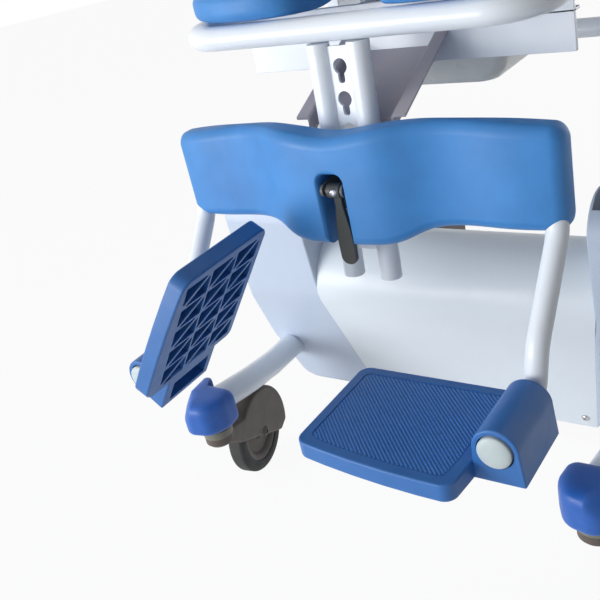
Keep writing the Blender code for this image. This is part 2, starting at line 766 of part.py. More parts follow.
def side_shell():
    """A side shell: a rounded body, hollow, open at the top where the lift arm leaves it."""
    body = plate("shell_body", shell_outline(), SHELL_INNER_X, SHELL_OUTER_X)
    bevel(body, SHELL_EDGE, 2, 60)
    trim = plate("shell_trim", shell_front_view(), -0.2, 0.7, "Y")
    combine(body, trim, "INTERSECT")
    inside = (SHELL_INNER_X + SHELL_WALL, SHELL_OUTER_X - SHELL_WALL)
    cavity = plate("shell_cavity", shell_outline(SHELL_WALL), *inside)
    combine(cavity, plate("cavity_trim", shell_front_view(SHELL_WALL), -0.2, 0.7, "Y"), "INTERSECT")
    rim = Vector(ARM_PIVOT) + Vector((math.cos(SHELL_SEAM_ANGLE), math.sin(SHELL_SEAM_ANGLE))) * 0.11
    above = ARM_PIVOT[1] + BOSS_RADIUS + 0.1
    behind = SHELL_REAR_Y + 0.09
    mouth = plate("shell_mouth", [ARM_PIVOT, tuple(rim), (ARM_PIVOT[0], above), (behind, above),
                                  (behind, SHELL_MOUTH_REAR_Z), (SHELL_REAR_Y - 0.030, SHELL_MOUTH_REAR_Z)],
                  *inside)
    cut(body, cavity, mouth)
    shell = tapered(body)
    leg_hole = tube("leg_hole", leg_path(), LEG_RADIUS + SEAM, resolution=LEG_TUBE_RESOLUTION)
    beam_hole = pin_x("beam_hole", (shell_inner_x(SKIRT_Z) - 0.01, SHELL_INNER_X + 0.02), (BEAM_Y, LEG_Z),
                      BEAM_RADIUS + SEAM, 16)
    cut(shell, leg_hole, beam_hole)
    finish(shell, "side_shell", SHELL_PLASTIC)
    pair(shell, "side_shell")


def front_bumper():
    """The blue cap round a front leg's end, with a wing along the tube's outer side."""
    x, y = FRONT_STEM
    line = rounded([
        (x + 0.038, y + 0.042, 0.008), (x + 0.039, y - 0.010, 0.03), (x + 0.014, y - 0.044, 0.022),
        (x - 0.024, y - 0.036, 0.026), (x - 0.036, y - 0.008, 0.026), (x - 0.033, y + 0.022, 0.010),
        (x + 0.023, y + 0.022), (x + 0.026, y + 0.042, 0.004),
    ])
    cap = bevel(plate("front_bumper", line, BUMPER_BOTTOM, BUMPER_TOP, "Z"), BUMPER_EDGE, 1, 50)
    hollow = tube("bumper_tube_hole", leg_path(), LEG_RADIUS + SEAM, resolution=LEG_TUBE_RESOLUTION)
    socket = rod("bumper_socket_hole", (x, y, SOCKET_BOTTOM - 0.01), (x, y, SOCKET_TOP + SEAM),
                 SOCKET_RADIUS + SEAM)
    cut(cap, hollow, socket)
    finish(cap, "front_bumper", BUMPER_BLUE)
    pair(cap, "front_bumper")


# Casters


def caster(end, stem, angle):
    """A swivel caster that trails to the rear: fork with stem and axle, tyre and hub."""
    swivel = bpy.data.objects.new(end + "_swivel", None)
    swivel.parent = CHAIR
    swivel.location = (*stem, 0)
    swivel.rotation_euler = (0, 0, angle)
    PARTS.objects.link(swivel)
    centre = (TRAIL, WHEEL_RADIUS)
    fork = fork_shape(centre)
    if end == "rear":
        pedal_ears(fork)
    half = WHEEL_WIDTH / 2
    tyre = turned("tyre", [(WHEEL_RADIUS - 0.005, half), (WHEEL_RADIUS, half - 0.007),
                           (WHEEL_RADIUS, -half + 0.007), (WHEEL_RADIUS - 0.005, -half),
                           (HUB_RADIUS, -half + 0.001), (HUB_RADIUS, half - 0.001)],
                  at(0, centre), (0, math.pi / 2, 0))
    rim = HUB_RADIUS - SEAM
    dish = half - 0.005
    side = [(AXLE_RADIUS + RUNNING, dish), (rim - 0.008, dish), (rim, half - 0.002)]
    other_side = [(radius, -height) for radius, height in reversed(side)]
    hub = turned("wheel_hub", side + other_side, at(0, centre), (0, math.pi / 2, 0))
    finish(fork, "caster_fork", CASTER_BROWN)
    finish(tyre, "tyre", TYRE_GREY)
    finish(hub, "wheel_hub", CASTER_BROWN)
    pieces = [fork, tyre, hub] + [step.object for step in fork.modifiers if step.type == "BOOLEAN"]
    for piece in pieces:
        piece.parent = swivel
    for part, name in ((fork, "caster_fork"), (tyre, "tyre"), (hub, "wheel_hub")):
        pair(part, end + "_" + name)


def fork_shape(centre):
    """A fork about its stem: hub, sloping cheeks, hood over the wheel, stem and axle."""
    line = arc(centre, HOOD_RADIUS, math.radians(-20), math.radians(128), 8)
    line += [(-0.006, SOCKET_BOTTOM - 0.0025), (-0.006, STEM_HUB_BOTTOM + 0.002),
             (0.022, WHEEL_RADIUS + 0.0255), (centre[0] + 0.046, WHEEL_RADIUS - 0.0315)]
    fork = plate("fork", line, -FORK_HALF_WIDTH, FORK_HALF_WIDTH)
    hub = rod("stem_hub", (0, 0, STEM_HUB_BOTTOM), (0, 0, SOCKET_BOTTOM - SEAM), STEM_HUB_RADIUS)
    join(fork, hub)
    slot_half = FORK_HALF_WIDTH - FORK_CHEEK
    cut(fork, pin_x("wheel_slot", (-slot_half, slot_half), centre, WHEEL_RADIUS + HOOD_CLEARANCE, 20))
    stem_pin = rod("stem_pin", (0, 0, SOCKET_BOTTOM - 0.01), (0, 0, LEG_ARCH_Z - 0.004), STEM_RADIUS)
    axle = pin_x("axle", (-FORK_HALF_WIDTH + 0.001, FORK_HALF_WIDTH - 0.001), centre, AXLE_RADIUS)
    return join(fork, stem_pin, axle)


def pedal_ears(fork):
    """Two ears behind the hood with the brake pedal's pin."""
    y, z = PEDAL_PIVOT
    root = (y - 0.010 * math.cos(PEDAL_ANGLE), z - 0.010 * math.sin(PEDAL_ANGLE))
    line = hull([(y, z, 0.005), (*root, 0.009)], 8)
    inner = PEDAL_HALF_WIDTH + SEAM
    for low, high in ((inner, FORK_HALF_WIDTH), (-FORK_HALF_WIDTH, -inner)):
        join(fork, plate("pedal_ear", line, low, high))
    join(fork, pin_x("pedal_pin", (-inner - 0.001, inner + 0.001), PEDAL_PIVOT, PEDAL_PIN_RADIUS))


def brake_pedal():
    """A rear caster's brake pedal, hinged on the back of the fork."""
    x, y = REAR_STEM[0], REAR_STEM[1] + PEDAL_PIVOT[0]
    z = PEDAL_PIVOT[1]
    line = hull([(y, z, 0.0055), (y + PEDAL_REACH - 0.0035, z + 0.005, 0.0035)], 12)
    pedal = plate("brake_pedal", line, x - PEDAL_HALF_WIDTH, x + PEDAL_HALF_WIDTH)
    cut(pedal, pin_x("pedal_bore", (x - 0.03, x + 0.03), (y, z), PEDAL_PIN_RADIUS + RUNNING))
    finish(pedal, "brake_pedal", BUMPER_BLUE, (x, y, z))
    pair(pedal, "brake_pedal")


# Lift linkage and actuators


def lift_arm():
    """A lift arm with the pin that its actuator pushes."""
    line = hull([(*ARM_PIVOT, ARM_ROOT_RADIUS), (*ARM_END, ARM_TIP_RADIUS)])
    arm = plate("lift_arm", line, *ARM_X)
    pin = pin_x("lift_lug", (LIFT_ACTUATOR_X - 0.016, ARM_X[0] + 0.004), LIFT_HEAD, ACTUATOR_PIN_RADIUS)
    join(arm, pin)
    through = (ARM_X[0] - 0.01, ARM_X[1] + 0.01)
    root_bore = pin_x("root_bore", through, ARM_PIVOT, ARM_PIN_RADIUS + RUNNING, 16)
    tip_bore = pin_x("tip_bore", through, ARM_END, CROSS_TUBE_RADIUS + RUNNING, 20)
    cut(arm, root_bore, tip_bore)
    finish(arm, "lift_arm", WHITE_PAINT, at(middle(ARM_X), ARM_PIVOT))
    pair(arm, "lift_arm")


def control_link():
    """The lower bar of the parallelogram, which keeps the seat level as it rises."""
    line = hull([(*LINK_FOOT, LINK_RADIUS), (*LINK_HEAD, LINK_RADIUS)])
    link = plate("control_link", line, *LINK_X)
    for name, place in (("foot_bore", LINK_FOOT), ("head_bore", LINK_HEAD)):
        cut(link, pin_x(name, (LINK_X[0] - 0.01, LINK_X[1] + 0.01), place, LINK_PIN_RADIUS + RUNNING))
    finish(link, "control_link", STEEL, at(middle(LINK_X), LINK_FOOT))
    pair(link, "control_link")


def actuator(prefix, x, foot, head, radius, length):
    """A linear actuator between two pins: a tube with its motor, and a rod with an open eye."""
    reach = (Vector(head) - Vector(foot)).length
    lean = math.atan2(foot[0] - head[0], head[1] - foot[1])
    turn = Matrix.Rotation(lean, 4, "X")
    body = rod("actuator_tube", (0, 0, 0.010), (0, 0, length), radius)
    foot_eye = rod("foot_eye", (-0.010, 0, 0), (0.010, 0, 0), radius * 0.8)
    motor = block("motor", (-radius * 0.9, 0, 0.024), (radius * 0.9, radius + 0.030, 0.070))
    join(body, foot_eye, motor)
    rod_radius = radius * 0.5
    foot_bore = rod("foot_eye_bore", (-0.05, 0, 0), (0.05, 0, 0), LINK_PIN_RADIUS + RUNNING)
    rod_bore = rod("rod_bore", (0, 0, 0.030), (0, 0, length + 0.01), rod_radius + RUNNING)
    cut(body, foot_bore, rod_bore)
    slider = rod("actuator_rod", (0, 0, length * 0.45), (0, 0, reach - 0.010), rod_radius)
    eye = rod("head_eye", (-0.007, 0, reach), (0.007, 0, reach), ACTUATOR_PIN_RADIUS + OPEN_PIVOT + 0.0045)
    eye_bore = rod("head_eye_bore", (-0.05, 0, reach), (0.05, 0, reach), ACTUATOR_PIN_RADIUS + OPEN_PIVOT)
    join(slider, eye)
    cut(slider, eye_bore)
    for shape in (body, foot_eye, motor, foot_bore, rod_bore, slider, eye, eye_bore):
        shape.data.transform(turn)
        shape.location = at(x, foot)
    finish(body, prefix + "_actuator_tube", BOX_GREY)
    finish(slider, prefix + "_actuator_rod", STEEL)
    return body, slider


def lift_actuators():
    """One lift actuator in each side shell."""
    body, slider = actuator("lift", LIFT_ACTUATOR_X, LIFT_FOOT, LIFT_HEAD, LIFT_TUBE_RADIUS, LIFT_TUBE_LENGTH)
    pair(body, "lift_actuator_tube")
    pair(slider, "lift_actuator_rod")


def seat_carrier():
    """The level frame between the lift arms and the tilting seat."""
    carrier = rod("seat_carrier", (-MIRROR_LAP, *ARM_END), (ARM_X[1] + 0.003, *ARM_END),
                  CROSS_TUBE_RADIUS, 20)
    line = hull([(*ARM_END, CARRIER_ARM_EYE), (*LINK_HEAD, LINK_RADIUS + 0.001),
                 (*TILT_PIVOT, CARRIER_TILT_EYE)])
    side = plate("carrier_side", line, *CARRIER_X)
    link_pin = pin_x("carrier_link_pin", (middle(CARRIER_X), LINK_X[1] + 0.002), LINK_HEAD, LINK_PIN_RADIUS)
    tilt_pin = pin_x("tilt_pin", (TILT_LUG_X[0], middle(CARRIER_X)), TILT_PIVOT, TILT_PIN_RADIUS, 16)
    join(carrier, side, link_pin, tilt_pin)
    mirror(carrier)
    foot_pin = pin_x("tilt_foot_pin", (-middle(CARRIER_X), -TILT_ACTUATOR_X + 0.015), TILT_FOOT,
                     LINK_PIN_RADIUS)
    join(carrier, foot_pin)
    finish(carrier, "seat_carrier", WHITE_PAINT, (0, *ARM_END))


# Seat


def seat_frame():
    """The seat's tube loop, tilt lugs, pan rails and front cross plate."""
    width, z = SEAT_HALF_WIDTH, SEAT_TUBE_Z
    corners = [(width, SEAT_FRONT_Y), (width, SEAT_REAR_Y), (-width, SEAT_REAR_Y), (-width, SEAT_FRONT_Y)]
    frame = tube("seat_frame", bent([(x, y, z, SEAT_CORNER) for x, y in corners]), SEAT_TUBE_RADIUS, True)
    lug_line = hull([(*TILT_PIVOT, TILT_LUG_RADIUS), (TILT_PIVOT[0] + TILT_LUG_SPREAD, z, 0.012),
                     (TILT_PIVOT[0] - TILT_LUG_SPREAD, z, 0.012)])
    head_line = hull([(*TILT_HEAD, 0.013), (TILT_HEAD[0] + 0.03, z, 0.012), (TILT_HEAD[0] - 0.02, z, 0.012)])
    low, high = TILT_LUG_X
    lugs = [plate("lug_left", lug_line, low, high), plate("lug_right", lug_line, -high, -low)]
    lugs.append(plate("tilt_head_lug", head_line, -high, -low))
    lugs.append(pin_x("tilt_head_pin", (-middle(TILT_LUG_X), -TILT_ACTUATOR_X + 0.015), TILT_HEAD,
                      ACTUATOR_PIN_RADIUS))
    reach = width - 0.004
    lip_top = RAIL_LIP_Z + RAIL_LIP_THICKNESS
    front_web = PAN_FRONT_Y - PAN_RIM - 0.002 - CROSS_PLATE_THICKNESS
    rear_web = PAN_REAR_Y + PAN_RIM + 0.002
    rails = [
        block("front_web", (-reach, front_web, CROSS_PLATE_BOTTOM),
              (reach, front_web + CROSS_PLATE_THICKNESS, z)),
        block("front_lip", (-reach, front_web, RAIL_LIP_Z), (reach, PAN_FRONT_Y - 0.003, lip_top)),
        block("rear_web", (-reach, rear_web, RAIL_LIP_Z), (reach, rear_web + 0.003, z)),
        block("rear_lip", (-reach, PAN_REAR_Y + 0.003, RAIL_LIP_Z), (reach, rear_web + 0.003, lip_top)),
    ]
    join(frame, *lugs, *rails)
    for side in (-1, 1):
        bore = pin_x("tilt_bore", (side * (low - 0.01), side * (high + 0.002)), TILT_PIVOT,
                     TILT_PIN_RADIUS + RUNNING, 16)
        cut(frame, bore)
    finish(frame, "seat_frame", WHITE_PAINT, (0, *TILT_PIVOT))


def commode_pan():
    """The pan, a tapered tray with a rim that slides on the seat's rails."""
    top = RAIL_LIP_Z + RAIL_LIP_THICKNESS + SEAM
    depth = PAN_DEPTH
    work = bmesh.new()
    centre_y = (PAN_FRONT_Y + PAN_REAR_Y) / 2
    half_length = (PAN_REAR_Y - PAN_FRONT_Y) / 2
    rings = []
    for grow, z in ((PAN_RIM, top + PAN_WALL), (0.0, top + PAN_WALL), (-0.012, top - depth * 0.6),
                    (-0.030, top - depth)):
        corners = [(sx * (PAN_HALF_WIDTH + grow), centre_y + sy * (half_length + grow))
                   for sx, sy in ((1, -1), (1, 1), (-1, 1), (-1, -1))]
        line = rounded([(a, b, 0.05 + grow) for a, b in corners])
        rings.append([work.verts.new((a, b, z)) for a, b in line])
    for upper, lower in zip(rings, rings[1:]):
        for index in range(len(upper)):
            ahead = (index + 1) % len(upper)
            work.faces.new((upper[index], lower[index], lower[ahead], upper[ahead]))
    work.faces.new(rings[-1][::-1])
    pan = new_object("pan_sheet", mesh_from("pan_sheet", work))
    wall = pan.modifiers.new("wall", "SOLIDIFY")
    wall.thickness = PAN_WALL
    wall.offset = 1
    finish(pan, "commode_pan", PAN_WHITE, (0, centre_y, top))


def seat_pad():
    """The horseshoe cushion round the commode opening."""
    centre_y = (CUSHION_FRONT_Y + CUSHION_REAR_Y) / 2
    half_length = (CUSHION_REAR_Y - CUSHION_FRONT_Y) / 2
    base = SEAT_TOP_Z + SEAM
    sections = []
    stations = 13
    for station in range(stations):
        share = station / (stations - 1)
        angle = -math.pi / 2 + APERTURE_MOUTH + share * (2 * math.pi - 2 * APERTURE_MOUTH)
        ray = Vector((math.cos(angle), math.sin(angle), 0))
        power = 6
        outer = (abs(ray.x / CUSHION_HALF_WIDTH) ** power + abs(ray.y / half_length) ** power) ** (-1 / power)
        inner = 1 / math.hypot(ray.x / APERTURE_HALF_WIDTH, ray.y / APERTURE_HALF_LENGTH)
        height = CUSHION_THICKNESS * (0.86 if station in (0, stations - 1) else 1.0)
        middle_point = Vector((0, centre_y, base + height / 2)) + ray * (outer + inner) / 2
        sections.append(soft_section(middle_point, ray * (outer - inner) / 2, (0, 0, height / 2), 8))
    finish(loft("seat_cushion", sections), "seat_pad", PAD_BLUE)


# Leg rail and what slides on it


def on_rail(shape):
    """Lean a shape built upright at the rail's foot, and put it in place."""
    lean = Matrix.Rotation(-RAIL_LEAN, 4, "X")
    shape.data.transform(Matrix.Translation((0, RAIL_FOOT_Y, RAIL_FOOT_Z)) @ lean)
    return shape


def leg_rail():
    """Two tubes joined by a web with a row of keyhole slots."""
    height = (SEAT_TUBE_Z - SEAT_TUBE_RADIUS - RAIL_FOOT_Z - 0.001) / math.cos(RAIL_LEAN)
    apart = RAIL_HALF_SPACING
    rail = on_rail(rod("rail_right", (-apart, 0, 0), (-apart, 0, height), RAIL_RADIUS))
    other = on_rail(rod("rail_left", (apart, 0, 0), (apart, 0, height), RAIL_RADIUS))
    inner = RAIL_HALF_SPACING - RAIL_RADIUS + 0.002
    half = WEB_THICKNESS / 2
    web = on_rail(block("web", (-inner, -half, WEB_START), (inner, half, height - 0.004)))
    join(rail, other, web)
    for index in range(KEYHOLE_COUNT):
        z = KEYHOLE_TOP - index * KEYHOLE_PITCH
        slot = rod("keyhole", (0, -0.01, z), (0, 0.01, z), KEYHOLE_RADIUS, 10)
        narrow = block("narrow_slot", (-KEYHOLE_SLOT_HALF, -0.01, z - KEYHOLE_SLOT_LENGTH),
                       (KEYHOLE_SLOT_HALF, 0.01, z))
        cut(rail, on_rail(slot), on_rail(narrow))
    finish(rail, "leg_rail", WHITE_PAINT)


def rail_bracket():
    """The folded channel that braces the leg rail to the seat's front cross plate."""
    half, lip, sheet, deep = CHANNEL_HALF_WIDTH, CHANNEL_LIP, CHANNEL_SHEET, CHANNEL_FLANGE
    inner = half - lip
    line = [(half, 0), (half, -sheet), (inner, -sheet), (inner, -deep), (-inner, -deep), (-inner, -sheet),
            (-half, -sheet), (-half, 0), (-inner + sheet, 0), (-inner + sheet, -deep + sheet),
            (inner - sheet, -deep + sheet), (inner - sheet, 0)]
    front_web = PAN_FRONT_Y - PAN_RIM - 0.002 - CROSS_PLATE_THICKNESS
    length = (front_web - CHANNEL_FRONT_Y) / math.cos(CHANNEL_RISE) + 0.02
    channel = plate("rail_bracket", line, -0.01, length, "Y")
    channel.data.transform(Matrix.Translation((0, CHANNEL_FRONT_Y, CHANNEL_TOP_Z))
                           @ Matrix.Rotation(CHANNEL_RISE, 4, "X"))
    rear_end = block("bracket_rear_end", (-0.1, front_web - SEAM, 0.4), (0.1, front_web + 0.1, 0.8))
    front_end = block("bracket_front_end", (-0.1, CHANNEL_FRONT_Y - 0.1, 0.4), (0.1, CHANNEL_FRONT_Y, 0.8))
    notch_half = CARRIAGE_HALF_WIDTH + 0.003
    notch = block("bracket_notch", (-notch_half, CHANNEL_FRONT_Y - 0.1, 0.4),
                  (notch_half, CHANNEL_WEB_START, 0.8))
    cut(channel, rear_end, front_end, notch)
    finish(channel, "rail_bracket", CHANNEL_GREY)


def rail_slide():
    """The carriage: a block that clasps both tubes, with ears for the lever's pin."""
    half = CARRIAGE_HALF_WIDTH
    slide = on_rail(block("carriage_block", (-half, CARRIAGE_FRONT, CARRIAGE_BOTTOM),
                          (half, CARRIAGE_BACK, CARRIAGE_TOP)))
    bevel(slide, 0.003)
    for side in (-1, 1):
        x = side * RAIL_HALF_SPACING
        bore = rod("rail_bore", (x, 0, 0), (x, 0, 0.3), RAIL_RADIUS + SEAM)
        cut(slide, on_rail(bore))
    half_gap = WEB_THICKNESS / 2 + 0.0006
    web_gap = block("web_gap", (-RAIL_HALF_SPACING, -half_gap, 0), (RAIL_HALF_SPACING, 0.05, 0.3))
    cut(slide, on_rail(web_gap))
    pivot_y, pivot_z = LEVER_PIVOT
    low, high = LEVER_EAR_X
    ear_line = hull([(pivot_y, pivot_z, 0.007), (-0.014, pivot_z, 0.011)])
    for side in (-1, 1):
        ends = sorted((side * low, side * high))
        join(slide, plate("lever_ear", ear_line, *ends))
    join(slide, pin_x("lever_pin", (-low - 0.001, low + 0.001), LEVER_PIVOT, LEVER_PIN_RADIUS))
    finish(slide, "rail_slide", BOX_GREY)


def release_lever():
    """The strap lever in the pad's slot; pulled forward, it frees the carriage."""
    y, z = LEVER_PIVOT
    side = [(0.0105, LEVER_TIP_Z, 0.010), (0.0095, LEVER_TIP_Z + 0.024, 0.02), (0.0055, z, 0)]
    strap_line = rounded([(-x, level, radius) for x, level, radius in side[::-1]] + side)
    half = LEVER_THICKNESS / 2
    strap = bevel(plate("strap", strap_line, y - half, y + half, "Y"), 0.0015, 1, 50)
    hub_end = LEVER_EAR_X[0] - SEAM
    hub = pin_x("lever_hub", (-hub_end, hub_end), LEVER_PIVOT, LEVER_HUB_RADIUS, 16)
    join(strap, hub)
    cut(strap, pin_x("lever_bore", (-0.02, 0.02), LEVER_PIVOT, LEVER_PIN_RADIUS + RUNNING))
    finish(strap, "release_lever", LEVER_BLACK, (0, *LEVER_PIVOT))


def foot_tube_path(start_x):
    """A footrest tube's path: across behind the pad, down, forward and into its axle."""
    x = FOOT_AXIS_X
    return bent([
        (start_x, FOOT_BAR_Y, FOOT_BAR_Z),
        (x, FOOT_BAR_Y, FOOT_BAR_Z, 0.032),
        (x, FOOT_BAR_Y - 0.004, 0.438, 0.035),
        (x, -0.083, 0.352, 0.035),
        (x, ELBOW_Y, FOOT_AXIS_Z, 0.0135),
        (x, FOOT_AXLE_FRONT, FOOT_AXIS_Z),
    ])


def footrest_tube():
    """A footrest's bent tube, whose front end is the footplate's axle."""
    shape = tube("footrest_tube", foot_tube_path(CARRIAGE_HALF_WIDTH + SEAM), FOOT_TUBE_RADIUS)
    finish(shape, "footrest_tube", WHITE_PAINT)
    pair(shape, "footrest_tube")


def pad_shape(x):
    """The calf pad's front, rear, top and bottom at a distance x from the middle."""
    calf = math.exp(-((x - 0.130) / 0.050) ** 2)
    nose = 1 / (1 + math.exp((x - 0.078) / 0.013))
    wing = (x / PAD_HALF_WIDTH) ** 3
    front = -0.041 - 0.015 * nose + 0.011 * calf + 0.022 * wing
    rear = 0.003 - 0.0145 * nose - 0.004 * calf + 0.012 * wing
    top = PAD_TOP - 0.008 * math.exp(-(x / 0.045) ** 2) - 0.010 * wing
    bottom = 0.430 + 0.0165 / (1 + math.exp(-(x - 0.083) / 0.010))
    return front, rear, top, bottom


def calf_pad():
    """The moulded calf pad with two calf recesses and the lever's slot."""
    sections = []
    shares = (0.24, 0.38, 0.56, 0.80, 0.97)
    places = [-PAD_HALF_WIDTH * share for share in reversed(shares)] + [0.0]
    places += [PAD_HALF_WIDTH * share for share in shares]
    ends = {places[0]: 0.90, places[-1]: 0.90}
    for x in [-PAD_HALF_WIDTH] + places + [PAD_HALF_WIDTH]:
        front, rear, top, bottom = pad_shape(abs(x))
        shrink = ends.get(x, 0.74 if abs(x) == PAD_HALF_WIDTH else 1.0)
        centre = (x, (front + rear) / 2, (top + bottom) / 2)
        across = (0, (front - rear) / 2 * shrink, 0)
        up = (0, 0, (top - bottom) / 2 * (shrink + 1) / 2)
        sections.append(soft_section(centre, across, up, 8, 4.5))
    pad = loft("calf_cushion", sections)
    slot_line = rounded([(-PAD_SLOT_HALF, 0.38), (PAD_SLOT_HALF, 0.38),
                         (PAD_SLOT_HALF, PAD_SLOT_TOP, 0.008), (-PAD_SLOT_HALF, PAD_SLOT_TOP, 0.008)])
    slot = plate("pad_slot", slot_line, -0.1, 0.1, "Y")
    gap = 0.0015
    pocket = on_rail(block("pad_pocket", (-CARRIAGE_HALF_WIDTH - gap, CARRIAGE_FRONT - gap, -0.02),
                           (CARRIAGE_HALF_WIDTH + gap, 0.05, CARRIAGE_TOP + gap)))
    reach = RAIL_HALF_SPACING + RAIL_RADIUS + gap
    rail_room = on_rail(block("pad_rail_room", (-reach, -RAIL_RADIUS - gap, -0.02), (reach, 0.05, 0.3)))
    grooves = []
    for side in (-1, 1):
        path = [Vector((side * point.x, point.y, point.z)) for point in foot_tube_path(0.02)]
        grooves.append(tube("pad_groove", path, FOOT_TUBE_RADIUS + SEAM))
    cut(pad, slot, pocket, rail_room, *grooves)
    finish(pad, "calf_pad", PAD_BLUE)


def plate_outline():
    """The footplate's plan, with its bowed front edge."""
    bow = 0.0045
    corners = [(PLATE_OUTER_X, PLATE_REAR, 0.010), (PLATE_INNER_X, PLATE_REAR, 0.014),
               (PLATE_INNER_X, PLATE_FRONT_INNER, 0.016)]
    for share in (0.33, 0.67):
        x = PLATE_INNER_X + (PLATE_OUTER_X - 0.004 - PLATE_INNER_X) * share
        straight = PLATE_FRONT_INNER + (PLATE_FRONT_OUTER - PLATE_FRONT_INNER) * share
        corners.append((x, straight - bow, 0.12))
    corners.append((PLATE_OUTER_X - 0.004, PLATE_FRONT_OUTER, 0.014))
    corners.append((PLATE_OUTER_X, BLOCK_FRONT, 0.02))
    return corners


def shrunk(corners, amount):
    """Move an outline's corners towards its middle by an amount on each axis."""
    a_mid = sum(corner[0] for corner in corners) / len(corners)
    b_mid = sum(corner[1] for corner in corners) / len(corners)
    moved = []
    for corner in corners:
        a = corner[0] - math.copysign(amount, corner[0] - a_mid)
        b = corner[1] - math.copysign(amount, corner[1] - b_mid)
        moved.append((a, b, max(corner[2] - amount * 0.5, 0.003)))
    return moved


def rib_pockets():
    """The pockets between the ribs under the footplate, each halved by a diagonal rib."""
    bottom = PLATE_TOP - PLATE_THICKNESS
    low_x, high_x = PLATE_INNER_X + PLATE_RIM, PLATE_OUTER_X - PLATE_RIM
    low_y, high_y = PLATE_FRONT_INNER + PLATE_RIM * 0.6, PLATE_REAR - PLATE_RIM
    step_x, step_y = (high_x - low_x) / RIB_COLUMNS, (high_y - low_y) / RIB_ROWS
    half = PLATE_RIB / 2
    pockets = []
    for column in range(RIB_COLUMNS):
        for row in range(RIB_ROWS):
            x0, y0 = low_x + column * step_x + half, low_y + row * step_y + half
            x1, y1 = x0 + step_x - PLATE_RIB, y0 + step_y - PLATE_RIB
            skew = PLATE_RIB * 1.1
            for corners in (((x0, y0), (x1 - skew, y0), (x0, y1 - skew)),
                            ((x1, y1), (x0 + skew, y1), (x1, y0 + skew))):
                pockets.append(plate("rib_pocket", corners, bottom - 0.01, PLATE_TOP - PLATE_SKIN, "Z"))
    return pockets


def merged(shapes, name):
    """One object from shapes that don't touch each other."""
    work = bmesh.new()
    for shape in shapes:
        work.from_mesh(shape.data)
        bpy.data.objects.remove(shape)
    return new_object(name, mesh_from(name, work))


def footplate():
    """A footplate with its hinge barrel, ribbed below and with a recessed tread."""
    bottom = PLATE_TOP - PLATE_THICKNESS
    step = bevel(plate("footplate", rounded(plate_outline()), bottom, PLATE_TOP, "Z"), 0.002, 1, 60)
    centre = (FOOT_AXIS_X, FOOT_AXIS_Z)
    arch = arc(centre, BLOCK_RADIUS, math.pi, 0, 10)
    line = [(PLATE_OUTER_X - 0.012, bottom), (PLATE_OUTER_X - 0.012, PLATE_TOP - 0.002),
            (FOOT_AXIS_X - BLOCK_RADIUS, PLATE_TOP - 0.002), *arch, (BLOCK_OUTER_X, bottom)]
    barrel = plate("hinge_barrel", line, BLOCK_FRONT, BLOCK_REAR, "Y")
    tread_corners = shrunk(plate_outline(), PLATE_BORDER)
    tread = plate("tread_field", rounded(tread_corners), PLATE_TOP - TREAD_DEPTH, PLATE_TOP + 0.01, "Z")
    join(step, barrel)
    axle_bore = rod("axle_bore", (*centre[:1], BLOCK_FRONT - 0.01, centre[1]),
                    (centre[0], BLOCK_REAR + 0.01, centre[1]), FOOT_TUBE_RADIUS + RUNNING)
    cap_recess = rod("cap_recess", (centre[0], BLOCK_FRONT - 0.01, centre[1]),
                     (centre[0], FOOT_AXLE_FRONT + SEAM, centre[1]), CAP_RADIUS + 0.0015, 20)
    under = block("barrel_pocket", (FOOT_AXIS_X - 0.014, BLOCK_FRONT + 0.012, bottom - 0.01),
                  (FOOT_AXIS_X + 0.018, BLOCK_REAR - 0.010, FOOT_AXIS_Z - FOOT_TUBE_RADIUS - 0.006))
    cut(step, tread, merged(rib_pockets(), "rib_pockets"), axle_bore, cap_recess, under)
    origin = (FOOT_AXIS_X, middle((BLOCK_FRONT, BLOCK_REAR)), FOOT_AXIS_Z)
    finish(step, "footplate", PLATE_BLUE, origin)
    twin = pair(step, "footplate")
    twin.rotation_euler = (0, -RAISED_RIGHT, 0)


def axle_cap():
    """The domed grey cap on the front end of a footplate's axle."""
    back = FOOT_AXLE_FRONT - SEAM
    profile = [(0, CAP_LENGTH), (CAP_RADIUS * 0.55, CAP_LENGTH - 0.0009),
               (CAP_RADIUS * 0.87, CAP_LENGTH - 0.0034), (CAP_RADIUS, CAP_LENGTH - 0.0075),
               (CAP_RADIUS, 0), (0, 0)]
    cap = turned("axle_cap", profile, (FOOT_AXIS_X, back, FOOT_AXIS_Z), (math.pi / 2, 0, 0))
    finish(cap, "axle_cap", CAP_GREY)
    pair(cap, "axle_cap")


# Back, arms and controls


def back_y(z):
    """The y of the back tubes at a height."""
    return SEAT_REAR_Y + (z - BACK_FOOT_Z) * math.tan(BACK_RECLINE)


def back_frame():
    """The reclined back tubes with push handles, cross bars and armrest pins."""
    x = BACK_HALF_WIDTH
    frame = tube("back_frame", bent([
        (x, SEAT_REAR_Y, BACK_FOOT_Z), (x, BACK_TOP_Y, BACK_TOP_Z, 0.055),
        (x, BACK_TOP_Y + HANDLE_REACH, BACK_TOP_Z)]), BACK_TUBE_RADIUS)
    for z in (LOWER_BAR_Z, UPPER_BAR_Z):
        join(frame, rod("cross_bar", (-MIRROR_LAP, back_y(z), z), (x, back_y(z), z), CROSS_BAR_RADIUS, 12))
    pin = pin_x("armrest_pin", (x, ARMREST_X + 0.014), (back_y(ARMREST_Z), ARMREST_Z), ARMREST_PIN_RADIUS, 16)
    join(frame, pin)
    mirror(frame)
    finish(frame, "back_frame", WHITE_PAINT)


def hand_grip():
    """A rubber grip pushed over a handle's end."""
    end = BACK_TOP_Y + HANDLE_REACH
    x, z = BACK_HALF_WIDTH, BACK_TOP_Z
    grip = rod("grip", (x, end - GRIP_LENGTH + 0.006, z), (x, end + 0.006, z), BACK_TUBE_RADIUS + GRIP_WALL)
    cut(grip, rod("grip_bore", (x, end - GRIP_LENGTH - 0.01, z), (x, end + SEAM, z), BACK_TUBE_RADIUS + SEAM))
    finish(grip, "hand_grip", LEVER_BLACK)
    pair(grip, "hand_grip")


